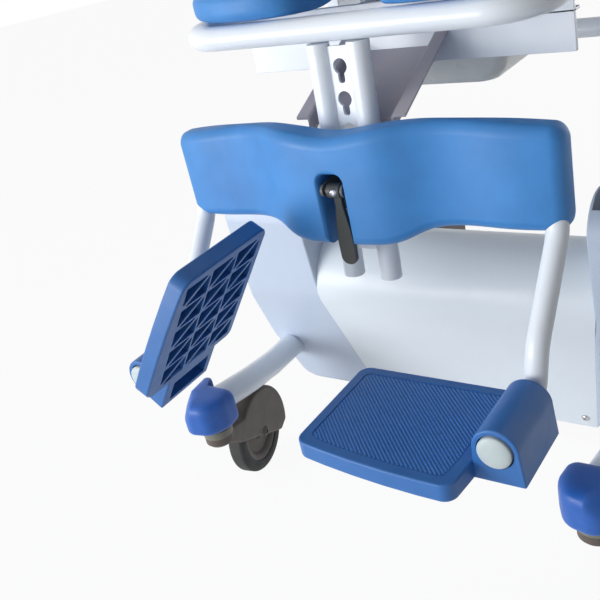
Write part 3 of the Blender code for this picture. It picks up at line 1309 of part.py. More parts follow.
def back_pad():
    """The padded back, curved round the occupant."""
    normal = Vector((0, math.cos(BACK_RECLINE), -math.sin(BACK_RECLINE)))
    up = Vector((0, math.sin(BACK_RECLINE), math.cos(BACK_RECLINE)))
    z = (BACK_PAD_LOW + BACK_PAD_HIGH) / 2
    centre = Vector((0, back_y(z), z)) - normal * (BACK_TUBE_RADIUS + 0.001 + BACK_PAD_THICKNESS / 2)
    height = (BACK_PAD_HIGH - BACK_PAD_LOW) / 2
    sections = []
    for share in (-1, -0.97, -0.8, -0.4, 0, 0.4, 0.8, 0.97, 1):
        size = {1: 0.72, 0.97: 0.92}.get(abs(share), 1.0)
        lumbar = 0.010 * (1 - abs(share) ** 2)
        place = centre + Vector((share * BACK_PAD_HALF_WIDTH, 0, 0)) + normal * (lumbar / 2)
        thick = (BACK_PAD_THICKNESS - lumbar) / 2
        sections.append(soft_section(place, normal * thick * size, up * height * (size + 1) / 2, 8, 4.5))
    finish(loft("back_cushion", sections), "back_pad", PAD_BLUE)


def armrest():
    """A flip-up armrest on the back frame's pin."""
    y, z = back_y(ARMREST_Z), ARMREST_Z
    arm = tube("armrest", bent([(ARMREST_X, y - 0.008, z), (ARMREST_X, ARMREST_FRONT_Y, z, 0.022),
                                (ARMREST_X, ARMREST_FRONT_Y - 0.012, z - 0.032)]), ARMREST_TUBE_RADIUS)
    join(arm, pin_x("armrest_hub", (ARMREST_X - 0.010, ARMREST_X + 0.010), (y, z), ARMREST_HUB_RADIUS, 16))
    through = (ARMREST_X - 0.02, ARMREST_X + 0.02)
    cut(arm, pin_x("armrest_bore", through, (y, z), ARMREST_PIN_RADIUS + RUNNING, 16))
    finish(arm, "armrest", WHITE_PAINT, (ARMREST_X, y, z))
    pair(arm, "armrest")


def arm_pad():
    """The soft pad on an armrest."""
    z = ARMREST_Z + ARMREST_TUBE_RADIUS + SEAM + ARM_PAD_HEIGHT / 2
    low, high = ARM_PAD_Y
    sections = []
    for share, size in ((0, 0.62), (0.015, 0.82), (0.05, 0.95), (0.10, 1),
                        (0.90, 1), (0.95, 0.95), (0.985, 0.82), (1, 0.62)):
        place = (ARMREST_X, low + (high - low) * share, z)
        sections.append(soft_section(place, (ARM_PAD_HALF_WIDTH * size, 0, 0), (0, 0, ARM_PAD_HEIGHT / 2 * size),
                                     12, 3.5))
    finish(loft("arm_cushion", sections, 0), "arm_pad", PAD_BLUE)
    pair(bpy.data.objects["arm_pad"], "arm_pad")


def controls():
    """The carer's control panel behind the top cross bar, with its push buttons."""
    z = UPPER_BAR_Z
    front = back_y(z) + CROSS_BAR_RADIUS + SEAM
    back = front + PANEL_DEPTH
    case = bevel(block("control_case", (-PANEL_HALF_WIDTH, front, z - PANEL_HALF_HEIGHT),
                       (PANEL_HALF_WIDTH, back, z + PANEL_HALF_HEIGHT)), 0.004, 2)
    for index in range(BUTTON_COUNT):
        x = (index - (BUTTON_COUNT - 1) / 2) * BUTTON_PITCH
        cut(case, rod("button_pocket", (x, back - BUTTON_POCKET, z), (x, back + 0.01, z),
                      BUTTON_RADIUS + RUNNING, 12))
        button = rod("button", (x, back - BUTTON_POCKET + 0.0024, z), (x, back + 0.0025, z), BUTTON_RADIUS, 12)
        finish(button, "control_button_%d" % (index + 1), CAP_GREY, (x, back, z))
    finish(case, "control_panel", BOX_GREY)


base_frame()
barrel_housing()
inner_pieces()
side_shell()
front_bumper()
caster("front", FRONT_STEM, -FRONT_SWIVEL)
caster("rear", REAR_STEM, 0)
brake_pedal()
lift_arm()
control_link()
lift_actuators()
seat_carrier()
actuator("tilt", -TILT_ACTUATOR_X, TILT_FOOT, TILT_HEAD, TILT_TUBE_RADIUS, TILT_TUBE_LENGTH)
seat_frame()
commode_pan()
seat_pad()
leg_rail()
rail_bracket()
rail_slide()
release_lever()
footrest_tube()
calf_pad()
footplate()
axle_cap()
back_frame()
hand_grip()
back_pad()
armrest()
arm_pad()
controls()
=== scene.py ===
"""Electric shower commode chair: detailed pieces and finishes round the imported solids.

Pieces are modelled in the chair's own frame in metres (x = 0 is the plane of symmetry, y = 0 the
foot of the leg rail, z = 0 the floor, the occupant faces -Y and +X is the occupant's left) and
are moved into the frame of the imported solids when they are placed.
"""
import json
import math

import bmesh
import bpy
from bpy.props import FloatProperty, FloatVectorProperty, PointerProperty
from mathutils import Matrix, Vector
from mathutils.bvhtree import BVHTree


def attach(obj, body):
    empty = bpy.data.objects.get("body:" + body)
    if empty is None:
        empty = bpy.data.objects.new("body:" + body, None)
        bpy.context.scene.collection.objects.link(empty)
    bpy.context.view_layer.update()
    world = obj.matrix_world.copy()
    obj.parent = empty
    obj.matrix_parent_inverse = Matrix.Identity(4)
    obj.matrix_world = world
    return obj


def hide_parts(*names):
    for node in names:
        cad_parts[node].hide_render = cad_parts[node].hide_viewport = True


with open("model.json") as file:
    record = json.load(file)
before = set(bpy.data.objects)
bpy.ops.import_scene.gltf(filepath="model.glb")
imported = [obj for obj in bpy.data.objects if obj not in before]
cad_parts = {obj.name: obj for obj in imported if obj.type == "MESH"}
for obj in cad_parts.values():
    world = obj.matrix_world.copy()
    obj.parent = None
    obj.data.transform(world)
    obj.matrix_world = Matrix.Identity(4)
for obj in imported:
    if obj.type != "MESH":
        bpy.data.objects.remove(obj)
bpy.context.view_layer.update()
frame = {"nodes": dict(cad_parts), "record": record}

bl_info = {
    "name": "Electric Shower Commode Chair",
    "version": (1, 0, 0),
    "blender": (4, 5, 0),
    "location": "View3D > Sidebar > Chair",
    "description": "Detailed pieces and finishes for a shower commode chair",
    "category": "Object",
}

# The chair frame's y = 0 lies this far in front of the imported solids' origin
ORIGIN_Y = 0.2800584400064372
SEAM = 0.0003

# Base, shells and barrel
SHELL_INNER_X, SHELL_OUTER_X, SHELL_WALL, SHELL_REAR_Y = 0.205, 0.343, 0.004, 0.430
SHELL_TOP_SLOPE = math.radians(20)
SHELL_SEAM_ANGLE = math.radians(134)
SHELL_MOUTH_REAR_Z, SHELL_TAPER_Z, SHELL_TAPER = 0.322, 0.240, 0.14
BOSS_RADIUS = 0.050
BARREL_Y, BARREL_Z, BARREL_RADIUS, BARREL_WALL, BARREL_TUCK = 0.219, 0.242, 0.073, 0.003, 0.0015
APRON_LEAN = math.radians(19.06)
SKIRT_Z, BARREL_BACK_Z, SCREW_X, SCREW_Z = 0.027, 0.100, 0.163, 0.047
LEG_RADIUS, LEG_Z, LEG_X, LEG_ARCH_Z = 0.019, 0.112, 0.312, 0.170
BEAM_RADIUS, BEAM_Y = 0.025, 0.250

# Casters
FRONT_STEM, REAR_STEM = (0.267, -0.069), (0.290, 0.620)
FRONT_SWIVEL = math.radians(10)
WHEEL_RADIUS, WHEEL_WIDTH, HUB_RADIUS, TRAIL = 0.0625, 0.026, 0.046, 0.086
FORK_HALF_WIDTH, FORK_CHEEK = 0.0195, 0.004
HOOD_RADIUS = WHEEL_RADIUS + 0.007
STEM_HUB_RADIUS, STEM_HUB_BOTTOM = 0.0215, 0.108
SOCKET_BOTTOM, SOCKET_RADIUS, SOCKET_TOP = 0.1345, 0.021, LEG_ARCH_Z + LEG_RADIUS - 0.002
BUMPER_BOTTOM, BUMPER_TOP = 0.1415, 0.1915
PEDAL_ANGLE, PEDAL_GAP, PEDAL_REACH, PEDAL_HALF_WIDTH = math.radians(18), 0.008, 0.01941, 0.0163

# Lift linkage, carrier and tilt; a place is (y, z)
ARM_PIVOT, ARM_END, ARM_X = (0.185, 0.354), (0.614, 0.493), (0.256, 0.292)
ARM_ROOT_RADIUS, ARM_TIP_RADIUS, CROSS_TUBE_RADIUS = 0.0455, 0.030, 0.015
LINK_FOOT, LINK_HEAD, LINK_X = (0.222, 0.294), (0.651, 0.433), (0.296, 0.306)
PIVOT_PLATE_X = (0.308, 0.316)
LIFT_FOOT, LIFT_ACTUATOR_X = (0.350, LEG_Z), 0.231
TILT_PIVOT, CARRIER_X = (0.430, 0.600), (0.230, 0.246)
TILT_LUG_X, TILT_FOOT, TILT_HEAD, TILT_ACTUATOR_X = (0.2065, 0.2255), (0.597, 0.461), (0.370, 0.500), 0.187

# Seat
SEAT_TUBE_RADIUS, SEAT_TUBE_Z = 0.014, 0.650
SEAT_HALF_WIDTH, SEAT_REAR_Y, SEAT_CORNER = 0.215, 0.470, 0.050
CUSHION_THICKNESS, CUSHION_HALF_WIDTH, CUSHION_REAR_Y, CUSHION_FRONT_Y = 0.045, 0.218, 0.450, -0.008
CUSHION_DISH = 0.004
APERTURE_HALF_WIDTH, APERTURE_HALF_LENGTH, APERTURE_MOUTH = 0.100, 0.125, math.radians(14)
PAN_FRONT_Y, PAN_REAR_Y, PAN_HALF_WIDTH, PAN_DEPTH = 0.150, 0.390, 0.125, 0.085
PAN_WALL, PAN_RIM, PAN_CORNER, PAN_PLAY = 0.003, 0.014, 0.05, 0.002
RAIL_LIP_Z, RAIL_LIP_THICKNESS, CROSS_PLATE_THICKNESS, CROSS_PLATE_BOTTOM = 0.618, 0.003, 0.006, 0.578

# Leg rail, carriage, pad and lever
RAIL_RADIUS, RAIL_HALF_SPACING, RAIL_LEAN = 0.0125, 0.025, math.radians(3)
RAIL_FOOT_Y, RAIL_FOOT_Z = -0.004, 0.366
WEB_THICKNESS, WEB_START = 0.004, 0.034
KEYHOLE_PITCH, KEYHOLE_TOP, KEYHOLE_COUNT = 0.035, 0.244, 6
KEYHOLE_RADIUS, KEYHOLE_SLOT_HALF, KEYHOLE_SLOT_LENGTH = 0.0085, 0.0042, 0.018
CHANNEL_RISE, CHANNEL_HALF_WIDTH, CHANNEL_LIP, CHANNEL_FLANGE = math.radians(25), 0.070, 0.015, 0.018
CHANNEL_SHEET, CHANNEL_TOP_Z, CHANNEL_FRONT_Y, CHANNEL_WEB_START = 0.003, 0.556, 0.006, 0.020
CARRIAGE_HALF_WIDTH, CARRIAGE_TOP, CARRIAGE_FRONT = 0.048, 0.154, -0.0195
PAD_HALF_WIDTH, PAD_TOP, PAD_SLOT_HALF, PAD_SLOT_TOP, PAD_END_RADIUS = 0.243, 0.562, 0.015, 0.510, 0.014
PAD_GAP = 0.0015
CALF_X, CALF_REACH, NOSE_EDGE_X, NOSE_EASE = 0.130, 0.050, 0.078, 0.013
SADDLE_REACH, SKIRT_EDGE_X, SKIRT_EASE = 0.045, 0.083, 0.010
LEVER_PIVOT, LEVER_TIP_Z, LEVER_THICKNESS, LEVER_HALF_HUB = (-0.048, 0.491), 0.403, 0.006, 0.0107
LEVER_SHIFT, LEVER_HUB_RADIUS = 0.004, 0.0085

# Footrests
FOOT_TUBE_RADIUS, FOOT_BAR_Y, FOOT_BAR_Z, FOOT_AXIS_X, FOOT_AXIS_Z = 0.0115, -0.002, 0.490, 0.2245, 0.304
FOOT_AXLE_FRONT, ELBOW_Y, BLOCK_FRONT, BLOCK_REAR = -0.190, -0.0945, -0.197, -0.109
BLOCK_RADIUS, BLOCK_OUTER_X = 0.0235, 0.2515
PLATE_TOP, PLATE_THICKNESS, PLATE_SKIN, PLATE_RIM, PLATE_RIB = 0.288, 0.020, 0.0035, 0.009, 0.003
PLATE_INNER_X, PLATE_OUTER_X, PLATE_REAR = 0.014, 0.201, -0.078
PLATE_FRONT_INNER, PLATE_FRONT_OUTER, PLATE_BOW, PLATE_BORDER = -0.224, -0.239, 0.0045, 0.012
TREAD_DEPTH, RIDGE_HALF_SHARE, RIDGE_SHORTEST = 0.0008, 0.32, 0.004
RIB_COLUMNS, RIB_ROWS = 5, 3
CAP_RADIUS, CAP_LENGTH = 0.017, 0.0125
RAISED_RIGHT = math.radians(56)

# Back, arms and controls
BACK_HALF_WIDTH, BACK_TUBE_RADIUS, BACK_RECLINE, BACK_TOP_Z = 0.190, 0.0125, math.radians(10), 1.090
LOWER_BAR_Z, UPPER_BAR_Z, CROSS_BAR_RADIUS, HANDLE_REACH = 0.735, 1.030, 0.010, 0.120
GRIP_LENGTH, GRIP_WALL, GRIP_END, GRIP_RIBS, GRIP_RIB_PITCH = 0.077, 0.004, 0.0045, 11, 0.0052
BACK_PAD_LOW, BACK_PAD_HIGH, BACK_PAD_THICKNESS, BACK_PAD_HALF_WIDTH = 0.765, 1.050, 0.050, 0.200
COVER_INSET, COVER_GRID, COVER_SEAMS, COVER_SEAM_REACH = 0.007, 0.0055, (-0.048, 0.048), 0.172
PUFF_FRAMES, PUFF_LIMIT = 20, 0.010
ARMREST_Z, ARMREST_X, ARMREST_FRONT_Y, ARMREST_TUBE_RADIUS = 0.880, 0.246, 0.140, 0.011
ARM_PAD_HALF_WIDTH, ARM_PAD_HEIGHT, ARM_PAD_END_RADIUS, ARM_PAD_Y = 0.026, 0.029, 0.018, (0.150, 0.420)
PANEL_HALF_WIDTH, PANEL_DEPTH, PANEL_HALF_HEIGHT = 0.056, 0.025, 0.022
BUTTON_RADIUS, BUTTON_COUNT, BUTTON_PITCH, BUTTON_POCKET = 0.008, 4, 0.024, 0.006

# Lamps: name, place, size and watts
LAMPS = (("key", (-1.50, -2.40, 0.35), 1.8, 54), ("rear_fill", (0.9, 3.0, 0.5), 2.0, 26))

# Derived places
APRON_DIRECTION = Vector((math.sin(APRON_LEAN), -math.cos(APRON_LEAN)))
APRON_TANGENT = Vector((BARREL_Y - BARREL_RADIUS * math.cos(APRON_LEAN),
                        BARREL_Z - BARREL_RADIUS * math.sin(APRON_LEAN)))
SEAT_TOP_Z = SEAT_TUBE_Z + SEAT_TUBE_RADIUS
CROSS_PLATE_FRONT = PAN_FRONT_Y - PAN_RIM - PAN_PLAY - CROSS_PLATE_THICKNESS
SEAT_FRONT_Y = RAIL_FOOT_Y + (SEAT_TUBE_Z - RAIL_FOOT_Z) * math.tan(RAIL_LEAN)
PEDAL_PIVOT = (TRAIL + (HOOD_RADIUS + PEDAL_GAP) * math.cos(PEDAL_ANGLE),
               WHEEL_RADIUS + (HOOD_RADIUS + PEDAL_GAP) * math.sin(PEDAL_ANGLE))


def linear(hex_colour):
    """Turn an sRGB hex colour into linear red, green and blue."""
    channels = [int(hex_colour[i:i + 2], 16) / 255 for i in (1, 3, 5)]
    return [c / 12.92 if c <= 0.04045 else ((c + 0.055) / 1.055) ** 2.4 for c in channels]


def colour_property(name, description, hex_colour):
    """A colour that a user may change."""
    return FloatVectorProperty(name=name, description=description, subtype="COLOR", size=3, min=0, max=1,
                               default=linear(hex_colour))


class ChairColours(bpy.types.PropertyGroup):
    """The chair's main colours."""
    foam: colour_property("Foam", "Skin of the moulded pads", "#3A82C6")
    plate: colour_property("Footplate", "Moulded footplates and hinge barrels", "#2A66AA")
    bumper: colour_property("Bumper", "Caps on the front legs and brake pedals", "#2660B6")
    barrel: colour_property("Barrel", "Cross housing between the side shells", "#E4ECF3")
    shell: colour_property("Shell", "Side shells", "#C2CEE0")
    paint: colour_property("Paint", "Powder coated tubes", "#E2E8EF")
    caster: colour_property("Caster", "Caster forks and wheel hubs", "#4C433D")


def length_property(name, description, start, low, high):
    """A length in metres that a user may change."""
    return FloatProperty(name=name, description=description, default=start, min=low, max=high, unit="LENGTH")


class ChairSizes(bpy.types.PropertyGroup):
    """Sizes of the chair's fine detail."""
    tread_pitch: length_property("Tread pitch", "Spacing of the tread ridges", 0.0035, 0.002, 0.010)
    tread_height: length_property("Tread height", "Height of the tread ridges", 0.0007, 0.0002, 0.0008)
    pad_edge: length_property("Pad edge", "Radius of the calf pad's long edges", 0.013, 0.004, 0.018)
    shell_edge: length_property("Shell edge", "Radius of the side shells' edges", 0.003, 0.002, 0.010)
    welt: length_property("Welt", "Radius of the piping round the back pad", 0.0028, 0.001, 0.004)


# Materials

RUB_MARK_MM = 22


def add(tree, kind, values=(), links=(), **settings):
    """Add a node with its settings, socket values and links."""
    node = tree.nodes.new(kind)
    for key, value in settings.items():
        setattr(node, key, value)
    for key, value in dict(values).items():
        node.inputs[key].default_value = value
    for key, socket in dict(links).items():
        tree.links.new(socket, node.inputs[key])
    return node


def surface(name, colour, roughness, cloud=0.05, cloud_mm=60, grain_mm=1.0, grain_depth_mm=0.02, cells=False,
            streak=(1, 1, 1), polish=0.05, worn=0.0, **sockets):
    """A finish with clouded colour, a relief of a real grain size, uneven polish and worn edges."""
    made = bpy.data.materials.new(name)
    made.use_nodes = True
    tree = made.node_tree
    shader = tree.nodes["Principled BSDF"]
    place = add(tree, "ShaderNodeTexCoord").outputs["Object"]
    stretched = add(tree, "ShaderNodeMapping", {"Scale": streak}, {"Vector": place}).outputs["Vector"]
    clouds = add(tree, "ShaderNodeTexNoise", {"Scale": 1000 / cloud_mm, "Detail": 3.0}, {"Vector": place})
    shades = [(*[min(c * (1 + change), 1) for c in colour], 1) for change in (-cloud, cloud)]
    tint = add(tree, "ShaderNodeValToRGB", links={"Fac": clouds.outputs["Fac"]})
    for stop, share, shade in zip(tint.color_ramp.elements, (0.3, 0.7), shades):
        stop.position = share
        stop.color = shade
    painted = tint.outputs["Color"]
    if worn:
        edges = add(tree, "ShaderNodeMapRange", {"From Min": 0.51, "From Max": 0.58, "To Max": worn},
                    {"Value": add(tree, "ShaderNodeNewGeometry").outputs["Pointiness"]})
        pale = [min(c * 1.8 + 0.04, 1) for c in colour]
        rub = add(tree, "ShaderNodeMixRGB", {"Color2": (*pale, 1)},
                  {"Fac": edges.outputs["Result"], "Color1": painted})
        painted = rub.outputs["Color"]
    tree.links.new(painted, shader.inputs["Base Color"])
    kind = "ShaderNodeTexVoronoi" if cells else "ShaderNodeTexNoise"
    grain = add(tree, kind, {"Scale": 1000 / grain_mm}, {"Vector": stretched})
    height = grain.outputs["Distance" if cells else "Fac"]
    relief = add(tree, "ShaderNodeBump", {"Strength": 1.0, "Distance": grain_depth_mm / 1000},
                 {"Height": height})
    tree.links.new(relief.outputs["Normal"], shader.inputs["Normal"])
    marks = add(tree, "ShaderNodeTexNoise", {"Scale": 1000 / RUB_MARK_MM, "Detail": 4.0},
                {"Vector": stretched})
    levels = {"From Min": 0.3, "From Max": 0.7, "To Min": roughness - polish, "To Max": roughness + polish}
    gloss = add(tree, "ShaderNodeMapRange", levels, {"Value": marks.outputs["Fac"]})
    tree.links.new(gloss.outputs["Result"], shader.inputs["Roughness"])
    for socket, value in sockets.items():
        shader.inputs[socket.replace("_", " ")].default_value = value
    return made


def make_materials(colours):
    """The finish of each of the record's material slots, and of the pieces that differ from them."""
    return {
        # Powder coated steel tube: glossy, with the faint orange peel that baked powder has
        "white_powder_coat": surface("powder_coated_steel", colours.paint, 0.33, cloud=0.02, grain_mm=2.2,
                                     grain_depth_mm=0.03, Coat_Weight=0.3, Coat_Roughness=0.15),
        # Vacuum formed ABS sheet: smooth and even, with a soft gloss
        "barrel_plastic": surface("vacuum_formed_abs", colours.barrel, 0.34, cloud=0.015, cloud_mm=120,
                                  grain_mm=6, grain_depth_mm=0.02, polish=0.04),
        # Injection moulded ABS with a satin mould texture, drawn at 1 mm so that it shows
        "shell_plastic": surface("satin_moulded_abs", colours.shell, 0.42, cloud=0.02, cloud_mm=110,
                                 grain_mm=1.0, grain_depth_mm=0.008),
        # Zinc plated steel: metal with a slightly uneven passivated sheen
        "zinc_plated_steel": surface("zinc_plated_fastener_steel", linear("#B9BBBE"), 0.32, cloud=0.06,
                                     cloud_mm=8, streak=(1, 1, 0.2), grain_mm=0.8, grain_depth_mm=0.01,
                                     Metallic=1.0),
        # Integral skin polyurethane foam: satin skin with a shallow dimpled mould texture
        "blue_foam": surface("integral_skin_foam", colours.foam, 0.50, cloud=0.07, cloud_mm=40, grain_mm=3.2,
                             grain_depth_mm=0.10, polish=0.05, Specular_IOR_Level=0.5),
        # Injection moulded polypropylene with an eroded mould grain, drawn at 0.9 mm so that it shows
        "footplate_plastic": surface("grained_polypropylene", colours.plate, 0.44, cloud=0.05, cloud_mm=30,
                                     grain_mm=0.9, grain_depth_mm=0.03, cells=True, worn=0.35),
        # Thermoplastic rubber: smooth moulded skin with scuffed edges
        "bumper_rubber": surface("thermoplastic_rubber", colours.bumper, 0.45, cloud=0.06, cloud_mm=14,
                                 grain_mm=1.6, grain_depth_mm=0.03, worn=0.3),
        # Glass filled nylon: matt, with the pale flow marks that the filler leaves
        "caster_plastic": surface("glass_filled_nylon", colours.caster, 0.50, cloud=0.12, cloud_mm=18,
                                  grain_mm=0.9, grain_depth_mm=0.02, worn=0.25),
        # Cast tyre compound: matt and dusty
        "tyre_rubber": surface("grey_tyre_compound", linear("#3A3B3A"), 0.74, cloud=0.16, cloud_mm=12,
                               grain_mm=1.2, grain_depth_mm=0.06),
        # Moulded nylon, nearly black, with a satin face
        "lever_plastic": surface("satin_black_nylon", linear("#2C3030"), 0.40, cloud=0.08, cloud_mm=10,
                                 grain_mm=0.9, grain_depth_mm=0.02, worn=0.3),
        # Pressed in polyethylene cap: waxy and slightly translucent
        "cap_plastic": surface("waxy_polyethylene", linear("#BCC8CA"), 0.42, cloud=0.03, cloud_mm=9,
                               grain_mm=1.5, grain_depth_mm=0.01, Subsurface_Weight=0.1,
                               Subsurface_Scale=0.002),
        # Folded sheet steel under satin paint, with painted shade: the pale paint's colour is darkened to the
        # mauve grey that the channel's web shows in shade
        "channel_paint": surface("satin_sheet_steel_with_painted_shade", linear("#A9A4AC"), 0.42, cloud=0.03,
                                 grain_mm=2.0, grain_depth_mm=0.03),
        # Injection moulded polypropylene pan: glossy outside
        "pan_plastic": surface("glossy_polypropylene", linear("#E6E7E3"), 0.30, cloud=0.02, cloud_mm=80,
                               grain_mm=5, grain_depth_mm=0.02),
        # ABS enclosure with a leather like mould grain, drawn at 1.2 mm so that it shows
        "case_plastic": surface("leather_grained_abs", linear("#5A5E62"), 0.50, cloud=0.04, grain_mm=1.2,
                                grain_depth_mm=0.06, cells=True),
        # Knitted fabric coated with polyurethane: a fine leather grain, drawn at 1.4 mm so that it shows
        "coated_fabric": surface("polyurethane_coated_knit", colours.foam, 0.46, cloud=0.06, cloud_mm=45,
                                 grain_mm=1.4, grain_depth_mm=0.07, cells=True, Sheen_Weight=0.3),
        # Moulded acetal, grey: the collars of the casters' swivel bearings, the rail's plugs and the thread
        "collar": surface("grey_acetal_collar", linear("#77766A"), 0.40, cloud=0.05, cloud_mm=10,
                          grain_mm=1.2, grain_depth_mm=0.01),
    }


LOOKS = {}


# Shapes


def new_object(name, work):
    """Link a bmesh as an object."""
    mesh = bpy.data.meshes.new(name)
    bmesh.ops.recalc_face_normals(work, faces=work.faces)
    work.to_mesh(mesh)
    work.free()
    made = bpy.data.objects.new(name, mesh)
    bpy.context.scene.collection.objects.link(made)
    return made


def bend(here, back, ahead, radius):
    """Points of the arc that rounds a corner between two directions, at most 5 degrees apart."""
    half = back.angle(ahead) / 2
    reach = min(radius / math.tan(half), back.length * 0.49, ahead.length * 0.49)
    start, end = here + back.normalized() * reach, here + ahead.normalized() * reach
    middle = here + (back.normalized() + ahead.normalized()).normalized() * reach / math.cos(half)
    first, last = start - middle, end - middle
    sweep = first.angle(last)
    steps = max(math.ceil(sweep / math.radians(5)), 2)
    line = []
    for step in range(steps + 1):
        share = step / steps
        line.append(middle + (first * math.sin((1 - share) * sweep) + last * math.sin(share * sweep))
                    / math.sin(sweep))
    return line


def eased(stops, closed=True):
    """A line through stops that each end with the radius of their corner."""
    line = []
    count = len(stops)
    for index, stop in enumerate(stops):
        here, radius = Vector(stop[:-1]), stop[-1]
        if not radius or (not closed and index in (0, count - 1)):
            line.append(here)
            continue
        back = Vector(stops[index - 1][:-1]) - here
        ahead = Vector(stops[(index + 1) % count][:-1]) - here
        line += bend(here, back, ahead, radius)
    return line


def arc(centre, radius, start, end, steps):
    """Points of a circle's arc in a plane, angles in radians."""
    angles = [start + (end - start) * step / steps for step in range(steps + 1)]
    return [(centre[0] + radius * math.cos(a), centre[1] + radius * math.sin(a)) for a in angles]


def band(circles, steps=72):
    """The outline of a band stretched round circles (a, b, radius)."""
    points = sorted({point for a, b, radius in circles
                     for point in arc((a, b), radius, 0, 2 * math.pi, steps)[:-1]})
    halves = []
    for row in (points, points[::-1]):
        chain = []
        for point in row:
            while len(chain) > 1 and right_turn(chain[-2], chain[-1], point):
                chain.pop()
            chain.append(point)
        halves.append(chain[:-1])
    return halves[0] + halves[1]


def right_turn(a, b, c):
    """Whether the path a, b, c runs straight on or turns right."""
    return (b[0] - a[0]) * (c[1] - a[1]) - (b[1] - a[1]) * (c[0] - a[0]) <= 1e-12


def rounded_rectangle(low, high, radius, steps):
    """A rectangle's outline with rounded corners, from its upper right corner on."""
    points = []
    for turn, (sx, sy) in enumerate(((1, 1), (-1, 1), (-1, -1), (1, -1))):
        middle = ((high if sx > 0 else low)[0] - sx * radius, (high if sy > 0 else low)[1] - sy * radius)
        points += arc(middle, radius, math.radians(90 * turn), math.radians(90 * turn + 90), steps)
    return points


def cushion_ring(steps, upper_power, lower_power):
    """A rounded unit section: its points (across, up) and how near each is to the crown."""
    ring = []
    for step in range(steps):
        turn = 2 * math.pi * step / steps
        cosine, sine = math.cos(turn), math.sin(turn)
        power = upper_power if sine > 0 else lower_power
        size = (abs(cosine) ** power + abs(sine) ** power) ** (-1 / power)
        ring.append((cosine * size, sine * size, max(sine, 0) * (1 - abs(cosine))))
    return ring


def rounding(distance, radius):
    """How far a rounded end stands in from its side, at a distance from its tip."""
    return radius - math.sqrt(max(radius ** 2 - max(0, radius - distance) ** 2, 0))


def loft(work, rings):
    """Add a closed surface through like rings of points, with flat ends."""
    rows = [[work.verts.new(point) for point in ring] for ring in rings]
    count = len(rows[0])
    for first, second in zip(rows, rows[1:]):
        for index in range(count):
            ahead = (index + 1) % count
            work.faces.new((first[index], first[ahead], second[ahead], second[index]))
    work.faces.new(rows[0][::-1])
    work.faces.new(rows[-1])


def skin(name, rings):
    """A shape lofted through like rings of points."""
    work = bmesh.new()
    loft(work, rings)
    return new_object(name, work)


def slab(name, outline, low, high, axis="X"):
    """An outline pushed from low to high along an axis; it is (y, z), (x, z) or (x, y)."""
    order = {"X": (2, 0, 1), "Y": (0, 2, 1), "Z": (0, 1, 2)}[axis]
    rings = [[(p[0], p[1], level) for p in outline] for level in (low, high)]
    return skin(name, [[tuple(point[i] for i in order) for point in ring] for ring in rings])


def box(name, low, high):
    """A box between two corners."""
    line = [(low[0], low[1]), (high[0], low[1]), (high[0], high[1]), (low[0], high[1])]
    return slab(name, line, low[2], high[2], "Z")


def lathe(name, profile, place, axis=(0, 0, 1), steps=64):
    """A profile of (radius, height) turned about an axis: it starts and ends there, or is a closed ring."""
    solid = profile[0][0] < 1e-6
    work = bmesh.new()
    rows = []
    for radius, height in profile:
        if radius < 1e-6:
            rows.append([work.verts.new((0, 0, height))] * steps)
        else:
            rows.append([work.verts.new((radius * math.cos(a), radius * math.sin(a), height))
                         for a in (2 * math.pi * i / steps for i in range(steps))])
    for first, second in zip(rows, rows[1:] if solid else rows[1:] + rows[:1]):
        for index in range(steps):
            ahead = (index + 1) % steps
            corners = list(dict.fromkeys((first[index], first[ahead], second[ahead], second[index])))
            work.faces.new(corners)
    made = new_object(name, work)
    turn = Vector(axis).to_track_quat("Z", "Y").to_matrix().to_4x4()
    made.data.transform(Matrix.Translation(place) @ turn)
    return made


def pin(name, x_range, place, radius, steps=48):
    """A cylinder along X at a (y, z) place."""
    low, high = x_range
    edge = min(0.0008, radius * 0.2)
    profile = [(0, 0), (radius - edge, 0), (radius, edge), (radius, high - low - edge),
               (radius - edge, high - low), (0, high - low)]
    return lathe(name, profile, (low, *place), (1, 0, 0), steps)


def rod(name, start, end, radius, steps=48):
    """A cylinder between two points."""
    along = Vector(end) - Vector(start)
    profile = [(0, 0), (radius, 0), (radius, along.length), (0, along.length)]
    return lathe(name, profile, start, along, steps)


def dome(name, place, axis, radius, height):
    """A domed fastener head: a shallow rim and a round recess in its middle."""
    shares = [(0, 0.55), (0.42, 0.55), (0.46, 0.95), (0.6, 0.92), (0.85, 0.62), (1, 0.12), (1, 0), (0, 0)]
    return lathe(name, [(radius * across, height * up) for across, up in shares], place, axis, 32)


def tube(name, path, radius, closed=False):
    """A round tube along a line of points."""
    curve = bpy.data.curves.new(name, "CURVE")
    curve.dimensions = "3D"
    curve.bevel_depth = radius
    curve.bevel_resolution = 16
    curve.use_fill_caps = not closed
    line = curve.splines.new("POLY")
    line.points.add(len(path) - 1)
    for point, place in zip(line.points, path):
        point.co = (*place, 1)
    line.use_cyclic_u = closed
    guide = bpy.data.objects.new(name + "_line", curve)
    bpy.context.scene.collection.objects.link(guide)
    settled = applied_mesh(guide)
    bpy.data.objects.remove(guide)
    work = bmesh.new()
    work.from_mesh(settled)
    bmesh.ops.remove_doubles(work, verts=work.verts, dist=0.00001)
    return new_object(name, work)


def applied_mesh(shape):
    """The mesh of an object with its modifiers applied."""
    bpy.context.view_layer.update()
    graph = bpy.context.evaluated_depsgraph_get()
    return bpy.data.meshes.new_from_object(shape.evaluated_get(graph))


def settle(shape):
    """Apply a shape's modifiers."""
    mesh = applied_mesh(shape)
    shape.modifiers.clear()
    shape.data = mesh
    return shape


def carve(shape, *tools, operation="DIFFERENCE"):
    """Cut tools out of a shape, or join or keep what they share, and drop the tools."""
    for tool in tools:
        step = shape.modifiers.new("carve", "BOOLEAN")
        step.operation = operation
        step.object = tool
        step.solver = "EXACT"
    settle(shape)
    for tool in tools:
        bpy.data.objects.remove(tool)
    return shape


